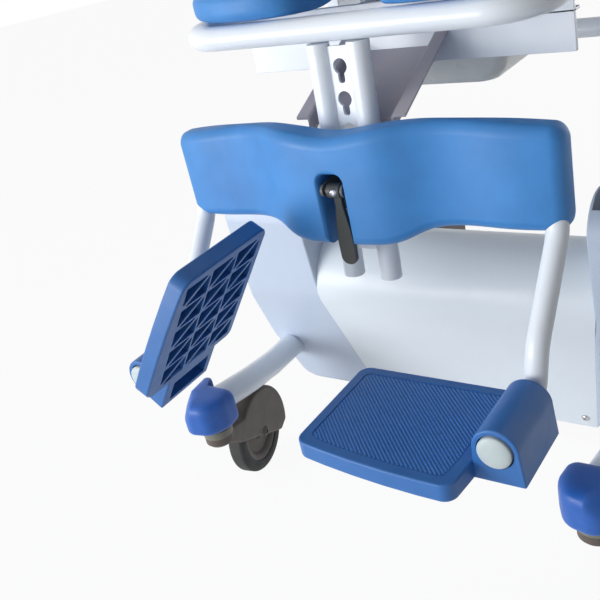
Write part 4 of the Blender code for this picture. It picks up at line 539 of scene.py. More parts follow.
def soften(shape, width, segments=4, angle=40, clamp=True):
    """Round the edges sharper than an angle."""
    step = shape.modifiers.new("edges", "BEVEL")
    step.width = width
    step.segments = segments
    step.limit_method = "ANGLE"
    step.angle_limit = math.radians(angle)
    step.use_clamp_overlap = clamp
    return settle(shape)


def together(name, *shapes):
    """One object from several shapes."""
    work = bmesh.new()
    for shape in shapes:
        work.from_mesh(shape.data)
        bpy.data.objects.remove(shape)
    return new_object(name, work)


def moved(shape, matrix):
    """Move a shape's mesh."""
    shape.data.transform(matrix)
    if matrix.determinant() < 0:
        shape.data.flip_normals()
    return shape


def copied(shape, name):
    """A copy of a shape."""
    made = bpy.data.objects.new(name, shape.data.copy())
    bpy.context.scene.collection.objects.link(made)
    return made


def reflected(shape, name):
    """The twin of a shape on the other side of the chair."""
    return moved(copied(shape, name), Matrix.Scale(-1, 4, (1, 0, 0)))


def both_sides(name, half, *middle):
    """One object from the shapes of the left half, their twins and the shapes across the middle."""
    side = together(name + "_half", *half)
    return together(name, side, reflected(side, name + "_twin"), *middle)


def place(shape, slot, body, *nodes, look=None, smooth=32):
    """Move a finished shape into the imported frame, give it its finish and fix it to its body."""
    settle(shape)
    shape.data.transform(Matrix.Translation((0, -ORIGIN_Y, 0)))
    shape.data.shade_smooth()
    shape.data.set_sharp_from_angle(angle=math.radians(smooth))
    weigh = shape.modifiers.new("normals", "WEIGHTED_NORMAL")
    weigh.keep_sharp = True
    settle(shape)
    shape.data.materials.clear()
    shape.data.materials.append(LOOKS[look or slot])
    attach(shape, body)
    if nodes:
        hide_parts(*nodes)
    return shape


def place_pair(shape, slot, body, node=None, look=None, smooth=32):
    """Place a left piece and its right twin; body and node names lack their side."""
    base = shape.name
    twin = reflected(shape, base + "_right")
    shape.name = base + "_left"
    for piece, side in ((shape, "_left"), (twin, "_right")):
        rider = body + side if body not in ("base", "seat", "carrier", "leg_carriage") else body
        place(piece, slot, rider, *([node + side] if node else []), look=look, smooth=smooth)
    return shape, twin


def at(x, spot):
    """A point from x and a (y, z) place."""
    return (x, spot[0], spot[1])


# Base


def leg_path():
    """The base's side tube, from the front caster's socket to the rear one."""
    x, y = FRONT_STEM
    spread, drop = LEG_X - x, LEG_ARCH_Z - LEG_Z
    return eased([
        (x, y, LEG_ARCH_Z, 0), (x + spread * 0.02, y + 0.086, LEG_ARCH_Z - drop * 0.26, 0.15),
        (x + spread * 0.51, y + 0.169, LEG_ARCH_Z - drop * 0.68, 0.15), (LEG_X, y + 0.259, LEG_Z, 0.11),
        (LEG_X, SHELL_REAR_Y - 0.030, LEG_Z, 0.08), (REAR_STEM[0], REAR_STEM[1] - 0.100, LEG_ARCH_Z, 0.08),
        (REAR_STEM[0], REAR_STEM[1], LEG_ARCH_Z, 0)], False)


def build_base_frame():
    """Side tubes, cross beam, caster sockets and pivot plates with their pins."""
    half = [tube("leg", leg_path(), LEG_RADIUS)]
    (y, z), reach, corner = ARM_PIVOT, 0.026, 0.02
    line = eased([(0.195, LEG_Z, 0), (0.335, LEG_Z, 0), (LINK_FOOT[0] + 0.024, LINK_FOOT[1], corner),
                  (y + reach, z + reach, corner), (y - reach, z + reach, corner),
                  (y - reach, z - 0.040, corner)])
    half.append(soften(slab("pivot_plate", line, *PIVOT_PLATE_X), 0.001, 2))
    inside = sum(PIVOT_PLATE_X) / 2
    half.append(pin("arm_pin", (ARM_X[0] - 0.004, inside), ARM_PIVOT, 0.010))
    half.append(pin("link_pin", (LINK_X[0] - 0.002, inside), LINK_FOOT, 0.006))
    half.append(pin("foot_pin", (LIFT_ACTUATOR_X - 0.017, LEG_X), LIFT_FOOT, 0.006))
    radius, lower_edge, upper_edge = SOCKET_RADIUS, 0.0015, 0.003
    profile = [(0, SOCKET_BOTTOM), (radius - lower_edge, SOCKET_BOTTOM), (radius, SOCKET_BOTTOM + lower_edge),
               (radius, SOCKET_TOP - upper_edge), (radius - upper_edge, SOCKET_TOP), (0, SOCKET_TOP)]
    half += [lathe("socket", profile, (*stem, 0)) for stem in (FRONT_STEM, REAR_STEM)]
    beam = rod("beam", (-LEG_X, BEAM_Y, LEG_Z), (LEG_X, BEAM_Y, LEG_Z), BEAM_RADIUS)
    place(both_sides("base_weldment", half, beam), "white_powder_coat", "base", "base_frame")


def shell_inner_x(z):
    """The x of a side shell's inner wall at a height."""
    return SHELL_INNER_X - SHELL_TAPER * max(0, SHELL_TAPER_Z - z)


def build_barrel():
    """The barrel housing: a vacuum formed sheet with softened edges, held by two domed screws."""
    skirt = APRON_TANGENT + APRON_DIRECTION * ((APRON_TANGENT.y - SKIRT_Z) / -APRON_DIRECTION.y)
    outer = [Vector(skirt)] + [APRON_TANGENT.lerp(skirt, 1 - i / 8) for i in range(1, 8)]
    outer += [Vector(p) for p in arc((BARREL_Y, BARREL_Z), BARREL_RADIUS, math.pi + APRON_LEAN, 0, 64)]
    outer += [Vector((BARREL_Y + BARREL_RADIUS, BARREL_BACK_Z))]
    inner = []
    for index, point in enumerate(outer):
        ahead = outer[min(index + 1, len(outer) - 1)] - outer[max(index - 1, 0)]
        normal = Vector((-ahead.y, ahead.x)).normalized()
        inner.append(point - normal * BARREL_WALL)
    line, slices = outer + inner[::-1], 40
    shares = [1 - 2 * i / slices for i in range(slices + 1)]
    # The sheet's ends are tucked under the rounded edges of the side shells
    rings = [[(share * (shell_inner_x(z) + BARREL_TUCK), y, z) for y, z in line] for share in shares]
    soften(skin("barrel_sheet", rings), 0.0007, 2, 60)
    place(bpy.data.objects["barrel_sheet"], "barrel_plastic", "base", "barrel_housing")
    direction = Vector((0, -math.cos(APRON_LEAN), -math.sin(APRON_LEAN)))
    spot = APRON_TANGENT + APRON_DIRECTION * ((APRON_TANGENT.y - SCREW_Z) / -APRON_DIRECTION.y)
    for x, name in ((SCREW_X, "barrel_screw_left"), (-SCREW_X, "barrel_screw_right")):
        screw = dome(name, (x, spot.x, spot.y), direction, 0.0058, 0.0032)
        place(screw, "zinc_plated_steel", "base")


def shell_outline(inset=0.0):
    """A side shell's side view: apron, straight front, boss, sloping top and rear."""
    normal = Vector((APRON_DIRECTION.y, -APRON_DIRECTION.x))
    low = SKIRT_Z + inset
    tangent = APRON_TANGENT - normal * inset
    skirt = tangent + APRON_DIRECTION * ((tangent.y - low) / -APRON_DIRECTION.y)
    boss = arc(ARM_PIVOT, BOSS_RADIUS - inset, math.pi, math.pi / 2 - SHELL_TOP_SLOPE, 22)
    last, rear = boss[-1], SHELL_REAR_Y - inset
    rear_top = last[1] - (rear - last[0]) * math.tan(SHELL_TOP_SLOPE)
    return eased([(skirt.x, skirt.y, 0.012), (tangent.x, tangent.y, 0),
                  (BARREL_Y - BARREL_RADIUS + inset, BARREL_Z + 0.006, 0), *[(*p, 0) for p in boss],
                  (rear, rear_top, 0.045), (rear - 0.015, low, 0.030)])


def shell_front_view(inset=0.0):
    """A side shell's front view, with its outer bottom corner."""
    outer, inner, low = SHELL_OUTER_X - inset, SHELL_INNER_X + inset, SKIRT_Z + inset
    high = ARM_PIVOT[1] + BOSS_RADIUS + 0.01
    return eased([(inner, low, 0), (outer - 0.040, low, 0.02), (outer - 0.018, low + 0.012, 0.02),
                  (outer - 0.001, low + 0.108, 0.06), (outer, high, 0), (inner, high, 0)])


def lean_inward(shape):
    """Lean a side shell's inner side inward below its straight part."""
    work = bmesh.new()
    work.from_mesh(shape.data)
    bmesh.ops.bisect_plane(work, geom=work.verts[:] + work.edges[:] + work.faces[:], dist=0.00001,
                           plane_co=(0, 0, SHELL_TAPER_Z), plane_no=(0, 0, 1))
    for vert in work.verts:
        share = (SHELL_OUTER_X - vert.co.x) / (SHELL_OUTER_X - SHELL_INNER_X)
        vert.co.x -= share * (SHELL_INNER_X - shell_inner_x(vert.co.z))
    name = shape.name
    bpy.data.objects.remove(shape)
    return new_object(name + "_leaned", work)


def build_side_shells(edge):
    """The two side shells: softly edged covers, hollow, open where the lift arm leaves them."""
    shell = slab("shell", shell_outline(), SHELL_INNER_X, SHELL_OUTER_X)
    carve(shell, slab("view", shell_front_view(), -0.2, 0.7, "Y"), operation="INTERSECT")
    soften(shell, edge, 5, 22, False)
    inside = (SHELL_INNER_X + SHELL_WALL, SHELL_OUTER_X - SHELL_WALL)
    cavity = slab("cavity", shell_outline(SHELL_WALL), *inside)
    carve(cavity, slab("inner_view", shell_front_view(SHELL_WALL), -0.2, 0.7, "Y"), operation="INTERSECT")
    rim = Vector(ARM_PIVOT) + Vector((math.cos(SHELL_SEAM_ANGLE), math.sin(SHELL_SEAM_ANGLE))) * 0.11
    above, behind = ARM_PIVOT[1] + BOSS_RADIUS + 0.1, SHELL_REAR_Y + 0.09
    mouth = slab("mouth", [ARM_PIVOT, tuple(rim), (ARM_PIVOT[0], above), (behind, above),
                           (behind, SHELL_MOUTH_REAR_Z), (SHELL_REAR_Y - 0.030, SHELL_MOUTH_REAR_Z)], *inside)
    carve(shell, cavity, mouth)
    shell = lean_inward(shell)
    beam = rod("beam_hole", (0.16, BEAM_Y, LEG_Z), (SHELL_INNER_X + 0.02, BEAM_Y, LEG_Z), BEAM_RADIUS + SEAM)
    carve(shell, tube("leg_hole", leg_path(), LEG_RADIUS + SEAM), beam)
    shell.name = "side_cover"
    place_pair(shell, "shell_plastic", "base", "side_shell", smooth=30)


def build_bumpers():
    """The rubber caps round the front legs' ends: pebbles whose tops fall away outward."""
    x, y = FRONT_STEM
    line = eased([
        (x + 0.038, y + 0.042, 0.010), (x + 0.039, y - 0.010, 0.03), (x + 0.014, y - 0.044, 0.022),
        (x - 0.022, y - 0.037, 0.026), (x - 0.036, y - 0.010, 0.026), (x - 0.033, y + 0.022, 0.012),
        (x + 0.023, y + 0.022, 0.006), (x + 0.026, y + 0.042, 0.005)])
    middle, outward = Vector((x, y - 0.003)), Vector((0.82, -0.57))
    lower_power, upper_power, fall_slope, fall_start = 8, 4.2, 1.35, 0.021
    levels = 27
    rings = []
    for step in range(levels):
        level = -math.cos(math.pi * (step + 0.35) / (levels - 0.3))
        power = lower_power if level < 0 else upper_power
        size = (1 - abs(level) ** power) ** (1 / power)
        ring = []
        for point in line:
            spot = middle + (point - middle) * size
            fall = fall_slope * max(0, (spot - middle).dot(outward) - fall_start)
            height = BUMPER_TOP - BUMPER_BOTTOM - fall
            ring.append((spot.x, spot.y, BUMPER_BOTTOM + (level + 1) / 2 * height))
        rings.append(ring)
    cap = skin("leg_bumper", rings)
    socket = rod("socket_hole", (x, y, SOCKET_BOTTOM - 0.01), (x, y, SOCKET_TOP + SEAM), SOCKET_RADIUS + SEAM)
    carve(cap, tube("tube_hole", leg_path(), LEG_RADIUS + SEAM), socket)
    place_pair(cap, "bumper_rubber", "base", "front_bumper", smooth=60)


# Casters


def wheel_shapes(centre):
    """A wheel's tyre with its rounded tread and its dished hub, turned about X."""
    half, round_height, round_width = WHEEL_WIDTH / 2, 0.009, 0.006
    tread = []
    for angle in (math.pi / 2 * i / 6 for i in range(7)):
        radius = WHEEL_RADIUS - round_height + round_height * math.sin(angle)
        tread.append((radius, half - round_width + round_width * math.cos(angle)))
    side = [(HUB_RADIUS, half - 0.001), (WHEEL_RADIUS - 0.013, half)] + tread
    rim = HUB_RADIUS - SEAM
    face = [(0, half - 0.001), (0.0095, half - 0.001), (0.011, half - 0.0025), (0.013, half - 0.0075),
            (rim - 0.012, half - 0.0080), (rim - 0.009, half - 0.0050), (rim - 0.004, half - 0.0022),
            (rim, half - 0.0022)]
    shapes = []
    for name, line in (("tyre", side), ("hub", face)):
        mirrored = [(radius, -height) for radius, height in reversed(line)]
        shapes.append(lathe(name, line + mirrored, centre, (1, 0, 0), 96))
    return shapes


def fork_shape(centre):
    """A fork about its stem at the origin: hooded cheeks over the wheel, running up to the swivel."""
    line = arc(centre, HOOD_RADIUS, math.radians(-20), math.radians(128), 40)
    line += [(-0.006, SOCKET_BOTTOM - 0.0025), (-0.006, STEM_HUB_BOTTOM + 0.002),
             (0.022, WHEEL_RADIUS + 0.0255), (centre[0] + 0.046, WHEEL_RADIUS - 0.0315)]
    fork = soften(slab("fork", line, -FORK_HALF_WIDTH, FORK_HALF_WIDTH), 0.0045, 5, 38, False)
    inner = FORK_HALF_WIDTH - FORK_CHEEK
    carve(fork, pin("slot", (-inner, inner), centre, WHEEL_RADIUS + 0.003, 96))
    radius, top = STEM_HUB_RADIUS - 0.0006, SOCKET_BOTTOM - 0.012
    housing = lathe("swivel_housing", [(0, STEM_HUB_BOTTOM), (radius - 0.0034, STEM_HUB_BOTTOM),
                                       (radius, STEM_HUB_BOTTOM + 0.004), (radius, top), (0, top)], (0, 0, 0))
    axle = pin("axle", (-FORK_HALF_WIDTH, FORK_HALF_WIDTH), centre, 0.005)
    return together("fork_body", fork, housing, axle)


def build_casters():
    """Four casters: fork, swivel collar, axle bolts, tyre and hub."""
    centre = (TRAIL, WHEEL_RADIUS)
    for end, stem, angle in (("front", FRONT_STEM, -FRONT_SWIVEL), ("rear", REAR_STEM, 0.0)):
        where = Matrix.Translation((*stem, 0)) @ Matrix.Rotation(angle, 4, "Z")
        fork = moved(fork_shape(centre), where)
        fork.name = end + "_fork"
        if end == "rear":
            fork = together("rear_fork", fork, moved(pedal_ears(), where))
        place_pair(fork, "caster_plastic", end + "_caster", end + "_caster_fork")
        top, radius, edge = SOCKET_BOTTOM - SEAM, STEM_HUB_RADIUS, 0.0015
        foot = top - 0.0115
        profile = [(0, foot), (radius, foot), (radius, top - edge), (radius - edge, top), (0, top)]
        collar = lathe(end + "_collar", profile, (0, 0, 0))
        place_pair(moved(collar, where), "caster_plastic", end + "_caster", look="collar")
        bolts = [dome("bolt", at(side * (FORK_HALF_WIDTH - 0.0003), centre), (side, 0, 0), 0.0075, 0.0030)
                 for side in (-1, 1)]
        bolts = together(end + "_axle_bolts", *bolts)
        place_pair(moved(bolts, where), "caster_plastic", end + "_caster")
        tyre, hub = wheel_shapes(at(0, centre))
        tyre.name, hub.name = end + "_tread", end + "_wheel_centre"
        place_pair(moved(tyre, where), "tyre_rubber", end + "_wheel", end + "_tyre")
        place_pair(moved(hub, where), "caster_plastic", end + "_wheel", end + "_wheel_hub")


def pedal_ears():
    """Two ears behind the hood with the brake pedal's pin."""
    y, z = PEDAL_PIVOT
    root = (y - 0.010 * math.cos(PEDAL_ANGLE), z - 0.010 * math.sin(PEDAL_ANGLE))
    line = band([(y, z, 0.005), (*root, 0.009)], 40)
    inner = PEDAL_HALF_WIDTH + SEAM
    ears = [slab("ear", line, inner, FORK_HALF_WIDTH), slab("ear", line, -FORK_HALF_WIDTH, -inner)]
    return together("ears", *ears, pin("pedal_pin", (-inner, inner), PEDAL_PIVOT, 0.0025, 24))


def build_brake_pedals():
    """The rear casters' brake pedals, with grip ribs across their tops."""
    x, y, z = REAR_STEM[0], REAR_STEM[1] + PEDAL_PIVOT[0], PEDAL_PIVOT[1]
    tip = (y + PEDAL_REACH - 0.0035, z + 0.005)
    line = band([(y, z, 0.0055), (*tip, 0.0035)], 40)
    pedal = soften(slab("pedal_pad", line, x - PEDAL_HALF_WIDTH, x + PEDAL_HALF_WIDTH), 0.0008, 2, 50)
    carve(pedal, pin("bore", (x - 0.03, x + 0.03), (y, z), 0.0028, 24))
    along = Vector((tip[0] - y, tip[1] - z)).normalized()
    normal = Vector((-along.y, along.x))
    reach = PEDAL_HALF_WIDTH - 0.002
    ribs = []
    for step in range(4):
        spot = Vector((y, z)) + along * (0.004 + step * 0.003) + normal * (0.0048 - step * 0.00035)
        ribs.append(pin("rib", (x - reach, x + reach), tuple(spot), 0.0007, 12))
    place_pair(together("pedal_ribbed", pedal, *ribs), "bumper_rubber", "brake", "brake_pedal")


# Lift linkage


def build_lift_arms():
    """The lift arms with the bores of their pivots and the pins of the actuators."""
    line = band([(*ARM_PIVOT, ARM_ROOT_RADIUS), (*ARM_END, ARM_TIP_RADIUS)], 96)
    arm = soften(slab("arm", line, *ARM_X), 0.004, 4, 50)
    reach = Vector((ARM_END[0] - ARM_PIVOT[0], ARM_END[1] - ARM_PIVOT[1])).normalized() * 0.150
    lug = pin("lug", (LIFT_ACTUATOR_X - 0.016, ARM_X[0] + 0.004), tuple(Vector(ARM_PIVOT) + reach), 0.005)
    through = (ARM_X[0] - 0.05, ARM_X[1] + 0.05)
    carve(arm, pin("root_bore", through, ARM_PIVOT, 0.0103), pin("tip_bore", through, ARM_END, 0.0153))
    place_pair(together("lift_beam", arm, lug), "white_powder_coat", "lift_arm", "lift_arm")


def build_carrier():
    """The level frame between the lift arms and the tilting seat."""
    half = [rod("cross", (-0.001, *ARM_END), (ARM_X[1] + 0.003, *ARM_END), CROSS_TUBE_RADIUS)]
    line = band([(*ARM_END, 0.024), (*LINK_HEAD, 0.014), (*TILT_PIVOT, 0.022)], 72)
    half.append(soften(slab("cheek", line, *CARRIER_X), 0.0015, 3, 50))
    middle = sum(CARRIER_X) / 2
    half.append(pin("link_pin", (middle, LINK_X[1] + 0.002), LINK_HEAD, 0.006))
    half.append(pin("tilt_pin", (TILT_LUG_X[0], middle), TILT_PIVOT, 0.008))
    foot = pin("tilt_foot_pin", (-middle, -TILT_ACTUATOR_X + 0.015), TILT_FOOT, 0.006)
    place(both_sides("carrier_weldment", half, foot), "white_powder_coat", "carrier", "seat_carrier")


# Seat


def build_seat_frame():
    """The seat's tube loop, tilt lugs, pan rails and front cross plate."""
    width, z = SEAT_HALF_WIDTH, SEAT_TUBE_Z
    corners = [(width, SEAT_FRONT_Y), (width, SEAT_REAR_Y), (-width, SEAT_REAR_Y), (-width, SEAT_FRONT_Y)]
    parts = [tube("loop", eased([(x, y, z, SEAT_CORNER) for x, y in corners]), SEAT_TUBE_RADIUS, True)]
    low, high = TILT_LUG_X
    lug = band([(*TILT_PIVOT, 0.017), (TILT_PIVOT[0] + 0.02, z, 0.012), (TILT_PIVOT[0] - 0.02, z, 0.012)])
    head = band([(*TILT_HEAD, 0.013), (TILT_HEAD[0] + 0.03, z, 0.012), (TILT_HEAD[0] - 0.02, z, 0.012)])
    for side, outline in ((1, lug), (-1, lug), (-1, head)):
        ends = sorted((side * low, side * high))
        parts.append(soften(slab("lug", outline, *ends), 0.0015, 2, 50))
    parts.append(pin("head_pin", (-(low + high) / 2, -TILT_ACTUATOR_X + 0.015), TILT_HEAD, 0.005))
    reach, lip_top = width - 0.004, RAIL_LIP_Z + RAIL_LIP_THICKNESS
    front, rear, sheet = CROSS_PLATE_FRONT, PAN_REAR_Y + PAN_RIM + PAN_PLAY, RAIL_LIP_THICKNESS
    for low_y, high_y, bottom, top in (
            (front, front + CROSS_PLATE_THICKNESS, CROSS_PLATE_BOTTOM, z),
            (front, PAN_FRONT_Y - sheet, RAIL_LIP_Z, lip_top),
            (rear, rear + sheet, RAIL_LIP_Z, z),
            (PAN_REAR_Y + sheet, rear + sheet, RAIL_LIP_Z, lip_top)):
        parts.append(soften(box("sheet", (-reach, low_y, bottom), (reach, high_y, top)), 0.0008, 2))
    place(together("seat_weldment", *parts), "white_powder_coat", "seat", "seat_frame")


def build_pan():
    """The commode pan: a tray with rounded corners, a flat rim and a thin wall."""
    top, wall, floor = RAIL_LIP_Z + RAIL_LIP_THICKNESS + SEAM, PAN_WALL, -PAN_DEPTH
    # How far each ring stands out from the pan's mouth, and its height over the lips
    under = [(-0.070, floor), (-0.033, floor), (-0.023, floor + 0.010), (-0.012, floor * 0.6),
             (-0.0003, -0.002), (0.0, 0)]
    inside = [(PAN_RIM, 0), (PAN_RIM, wall), (0.002, wall), (-0.001, wall - 0.001), (-0.003, -0.002),
              (-0.015, floor * 0.6), (-0.026, floor + 0.012), (-0.034, floor + wall), (-0.070, floor + wall)]
    rings = []
    for grow, level in under + inside:
        width, radius = PAN_HALF_WIDTH + grow, PAN_CORNER + max(grow, -0.030)
        line = rounded_rectangle((-width, PAN_FRONT_Y - grow), (width, PAN_REAR_Y + grow), radius, 12)
        rings.append([(x, y, top + level) for x, y in line])
    place(skin("drawn_pan", rings), "pan_plastic", "pan", "commode_pan")


def build_seat_pad():
    """The moulded horseshoe cushion round the commode opening."""
    centre_y, half_length = (CUSHION_FRONT_Y + CUSHION_REAR_Y) / 2, (CUSHION_REAR_Y - CUSHION_FRONT_Y) / 2
    base = SEAT_TOP_Z + SEAM
    rings = []
    # Rings stand round the opening from end to end of the horseshoe; the last few at each end shrink
    stations, end_stations, corner_power = 150, 7, 6
    for station in range(stations + 1):
        angle = -math.pi / 2 + APERTURE_MOUTH + station / stations * 2 * (math.pi - APERTURE_MOUTH)
        ray = Vector((math.cos(angle), math.sin(angle), 0))
        outer = (abs(ray.x / CUSHION_HALF_WIDTH) ** corner_power
                 + abs(ray.y / half_length) ** corner_power) ** (-1 / corner_power)
        inner = 1 / math.hypot(ray.x / APERTURE_HALF_WIDTH, ray.y / APERTURE_HALF_LENGTH)
        share = min(station, stations - station) / end_stations
        fullness = math.sqrt(max(1 - (1 - min(share, 1)) ** 2, 0))
        half_width = (outer - inner) / 2 * 0.985 * (0.35 + 0.65 * fullness)
        half_height = CUSHION_THICKNESS / 2 * (0.80 + 0.18 * fullness)
        middle = Vector((0, centre_y, base + half_height)) + ray * (outer + inner) / 2
        ring = []
        for across, up, crown in cushion_ring(40, 2.6, 4.5):
            rise = Vector((0, 0, half_height * up - CUSHION_DISH * crown))
            ring.append(middle + ray * half_width * across + rise)
        rings.append(ring)
    pad = place(skin("seat_foam", rings), "blue_foam", "seat", "seat_pad", smooth=60)


# Leg rail and what slides on it


def on_rail(shape):
    """Lean a shape built upright at the rail's foot, and put it in place."""
    lean = Matrix.Rotation(-RAIL_LEAN, 4, "X")
    return moved(shape, Matrix.Translation((0, RAIL_FOOT_Y, RAIL_FOOT_Z)) @ lean)


def build_leg_rail():
    """Two tubes joined by a web with a row of keyhole slots, plugged at their feet."""
    height = (SEAT_TUBE_Z - SEAT_TUBE_RADIUS - RAIL_FOOT_Z - 0.001) / math.cos(RAIL_LEAN)
    radius, bore, mouth = RAIL_RADIUS, RAIL_RADIUS - 0.002, 0.006
    profile = [(0, mouth), (bore, mouth), (bore, 0.0004), (bore + 0.0004, 0), (radius - 0.0004, 0),
               (radius, 0.0006), (radius, height), (0, height)]
    tubes = [lathe("rail", profile, (side * RAIL_HALF_SPACING, 0, 0)) for side in (-1, 1)]
    inner = RAIL_HALF_SPACING - RAIL_RADIUS + 0.002
    half = WEB_THICKNESS / 2
    web = box("web", (-inner, -half, WEB_START), (inner, half, height - 0.004))
    narrow, corner = KEYHOLE_SLOT_HALF, 0.0036
    for index in range(KEYHOLE_COUNT):
        z = KEYHOLE_TOP - index * KEYHOLE_PITCH
        foot = z - KEYHOLE_SLOT_LENGTH
        hole = arc((0, z), KEYHOLE_RADIUS, 0, 2 * math.pi, 40)[:-1]
        slot = eased([(-narrow, foot, corner), (narrow, foot, corner), (narrow, z, 0), (-narrow, z, 0)])
        carve(web, *[slab("cut", outline, -0.01, 0.01, "Y") for outline in (hole, slot)])
    soften(web, 0.0005, 2, 50)
    place(on_rail(together("twin_rail", *tubes, web)), "white_powder_coat", "seat", "leg_rail")
    snug = bore - 0.0002
    profile = [(0, 0.0020), (0.006, 0.0020), (0.0085, 0.0014), (snug, 0.0010), (snug, 0.0055), (0, 0.0055)]
    for side, name in ((1, "rail_plug_left"), (-1, "rail_plug_right")):
        plug = lathe(name, profile, (side * RAIL_HALF_SPACING, 0, 0))
        place(on_rail(plug), "lever_plastic", "seat", look="collar")


def build_bracket():
    """The folded channel that braces the leg rail to the seat's front cross plate."""
    half, lip, sheet, deep = CHANNEL_HALF_WIDTH, CHANNEL_LIP, CHANNEL_SHEET, CHANNEL_FLANGE
    inner, out, tight = half - lip, 0.0045, 0.0015
    line = eased([(half, 0, 0), (half, -sheet, 0), (inner, -sheet, tight), (inner, -deep, out),
                  (-inner, -deep, out), (-inner, -sheet, tight), (-half, -sheet, 0), (-half, 0, 0),
                  (-inner + sheet, 0, out), (-inner + sheet, -deep + sheet, tight),
                  (inner - sheet, -deep + sheet, tight), (inner - sheet, 0, out)])
    length = (CROSS_PLATE_FRONT - CHANNEL_FRONT_Y) / math.cos(CHANNEL_RISE) + 0.02
    channel = slab("channel", line, -0.01, length, "Y")
    rise = Matrix.Rotation(CHANNEL_RISE, 4, "X")
    moved(channel, Matrix.Translation((0, CHANNEL_FRONT_Y, CHANNEL_TOP_Z)) @ rise)
    beyond, notch_half = 0.1, CARRIAGE_HALF_WIDTH + 0.003
    rear, front = CROSS_PLATE_FRONT, CHANNEL_FRONT_Y
    for half_x, low_y, high_y in ((beyond, rear - SEAM, rear + beyond), (beyond, front - beyond, front),
                                  (notch_half, front - beyond, CHANNEL_WEB_START)):
        carve(channel, box("cut", (-half_x, low_y, 0.4), (half_x, high_y, 0.8)))
    soften(channel, 0.0005, 2, 60)
    channel.name = "folded_channel"
    place(channel, "channel_paint", "seat", "rail_bracket")


def build_lever():
    """The release lever: a waisted strap with a hub and a bright socket screw."""
    y, z = LEVER_PIVOT
    side = [(0.0054, z + 0.004, 0.004), (0.0050, z - 0.018, 0.04), (0.0088, z - 0.042, 0.06),
            (0.0105, z - 0.062, 0.04), (0.0098, LEVER_TIP_Z, 0.0094)]
    strap = eased([(LEVER_SHIFT + x, level, radius) for x, level, radius in side]
                  + [(LEVER_SHIFT - x, level, radius) for x, level, radius in side[::-1]])
    half = LEVER_THICKNESS / 2
    body = soften(slab("strap", strap, y - half, y + half, "Y"), 0.0016, 4, 50)
    hub = pin("hub", (LEVER_SHIFT - 0.0100, LEVER_HALF_HUB), LEVER_PIVOT, LEVER_HUB_RADIUS)
    place(together("lever_strap", body, hub), "lever_plastic", "lever", "release_lever")
    screw = dome("lever_screw", (LEVER_SHIFT, y - 0.0080, z + 0.0005), (0, -1, 0.05), 0.0044, 0.0032)
    place(screw, "zinc_plated_steel", "lever")


def foot_tube_path(start_x):
    """A footrest tube's path: across behind the pad, down, forward and into its axle."""
    x = FOOT_AXIS_X
    return eased([(start_x, FOOT_BAR_Y, FOOT_BAR_Z, 0), (x + 0.001, FOOT_BAR_Y, FOOT_BAR_Z, 0.032),
                  (x + 0.005, FOOT_BAR_Y - 0.011, 0.438, 0.05), (x + 0.003, -0.086, 0.350, 0.05),
                  (x, ELBOW_Y, FOOT_AXIS_Z, 0.0135),
                  (x, FOOT_AXLE_FRONT, FOOT_AXIS_Z, 0)], False)


def build_foot_tubes():
    """The two footrest tubes."""
    shape = tube("foot_tube", foot_tube_path(CARRIAGE_HALF_WIDTH + SEAM), FOOT_TUBE_RADIUS)
    place_pair(shape, "white_powder_coat", "leg_carriage", "footrest_tube")


def pad_shape(x):
    """The calf pad's front, rear, top and bottom at a distance x from the middle."""
    # Each of these five is a share from 0 to 1
    calf = math.exp(-((x - CALF_X) / CALF_REACH) ** 2)
    nose = 1 / (1 + math.exp((x - NOSE_EDGE_X) / NOSE_EASE))
    wing = (x / PAD_HALF_WIDTH) ** 3
    saddle, skirt = math.exp(-(x / SADDLE_REACH) ** 2), 1 / (1 + math.exp((x - SKIRT_EDGE_X) / SKIRT_EASE))
    front = -0.041 - 0.015 * nose + 0.011 * calf + 0.022 * wing
    rear = 0.003 - 0.0145 * nose - 0.004 * calf + 0.012 * wing
    top = PAD_TOP - 0.004 - 0.008 * saddle - 0.013 * wing
    bottom = 0.443 - 0.0165 * skirt - 0.004 * wing
    return front, rear, top, bottom


def round_ring(x, front, rear, low, high, radius):
    """A rounded rectangle across the calf pad, the same number of points at every x."""
    radius = min(radius, (rear - front) / 2 - 0.0005, (high - low) / 2 - 0.0005)
    points = rounded_rectangle((front, low), (rear, high), radius, 10)
    rows = []
    for index, point in enumerate(points):
        here, after = Vector((x, *point)), Vector((x, *points[(index + 1) % len(points)]))
        rows.append(here)
        if index % 11 == 10:
            rows += [here.lerp(after, share) for share in (0.2, 0.4, 0.6, 0.8)]
    return rows


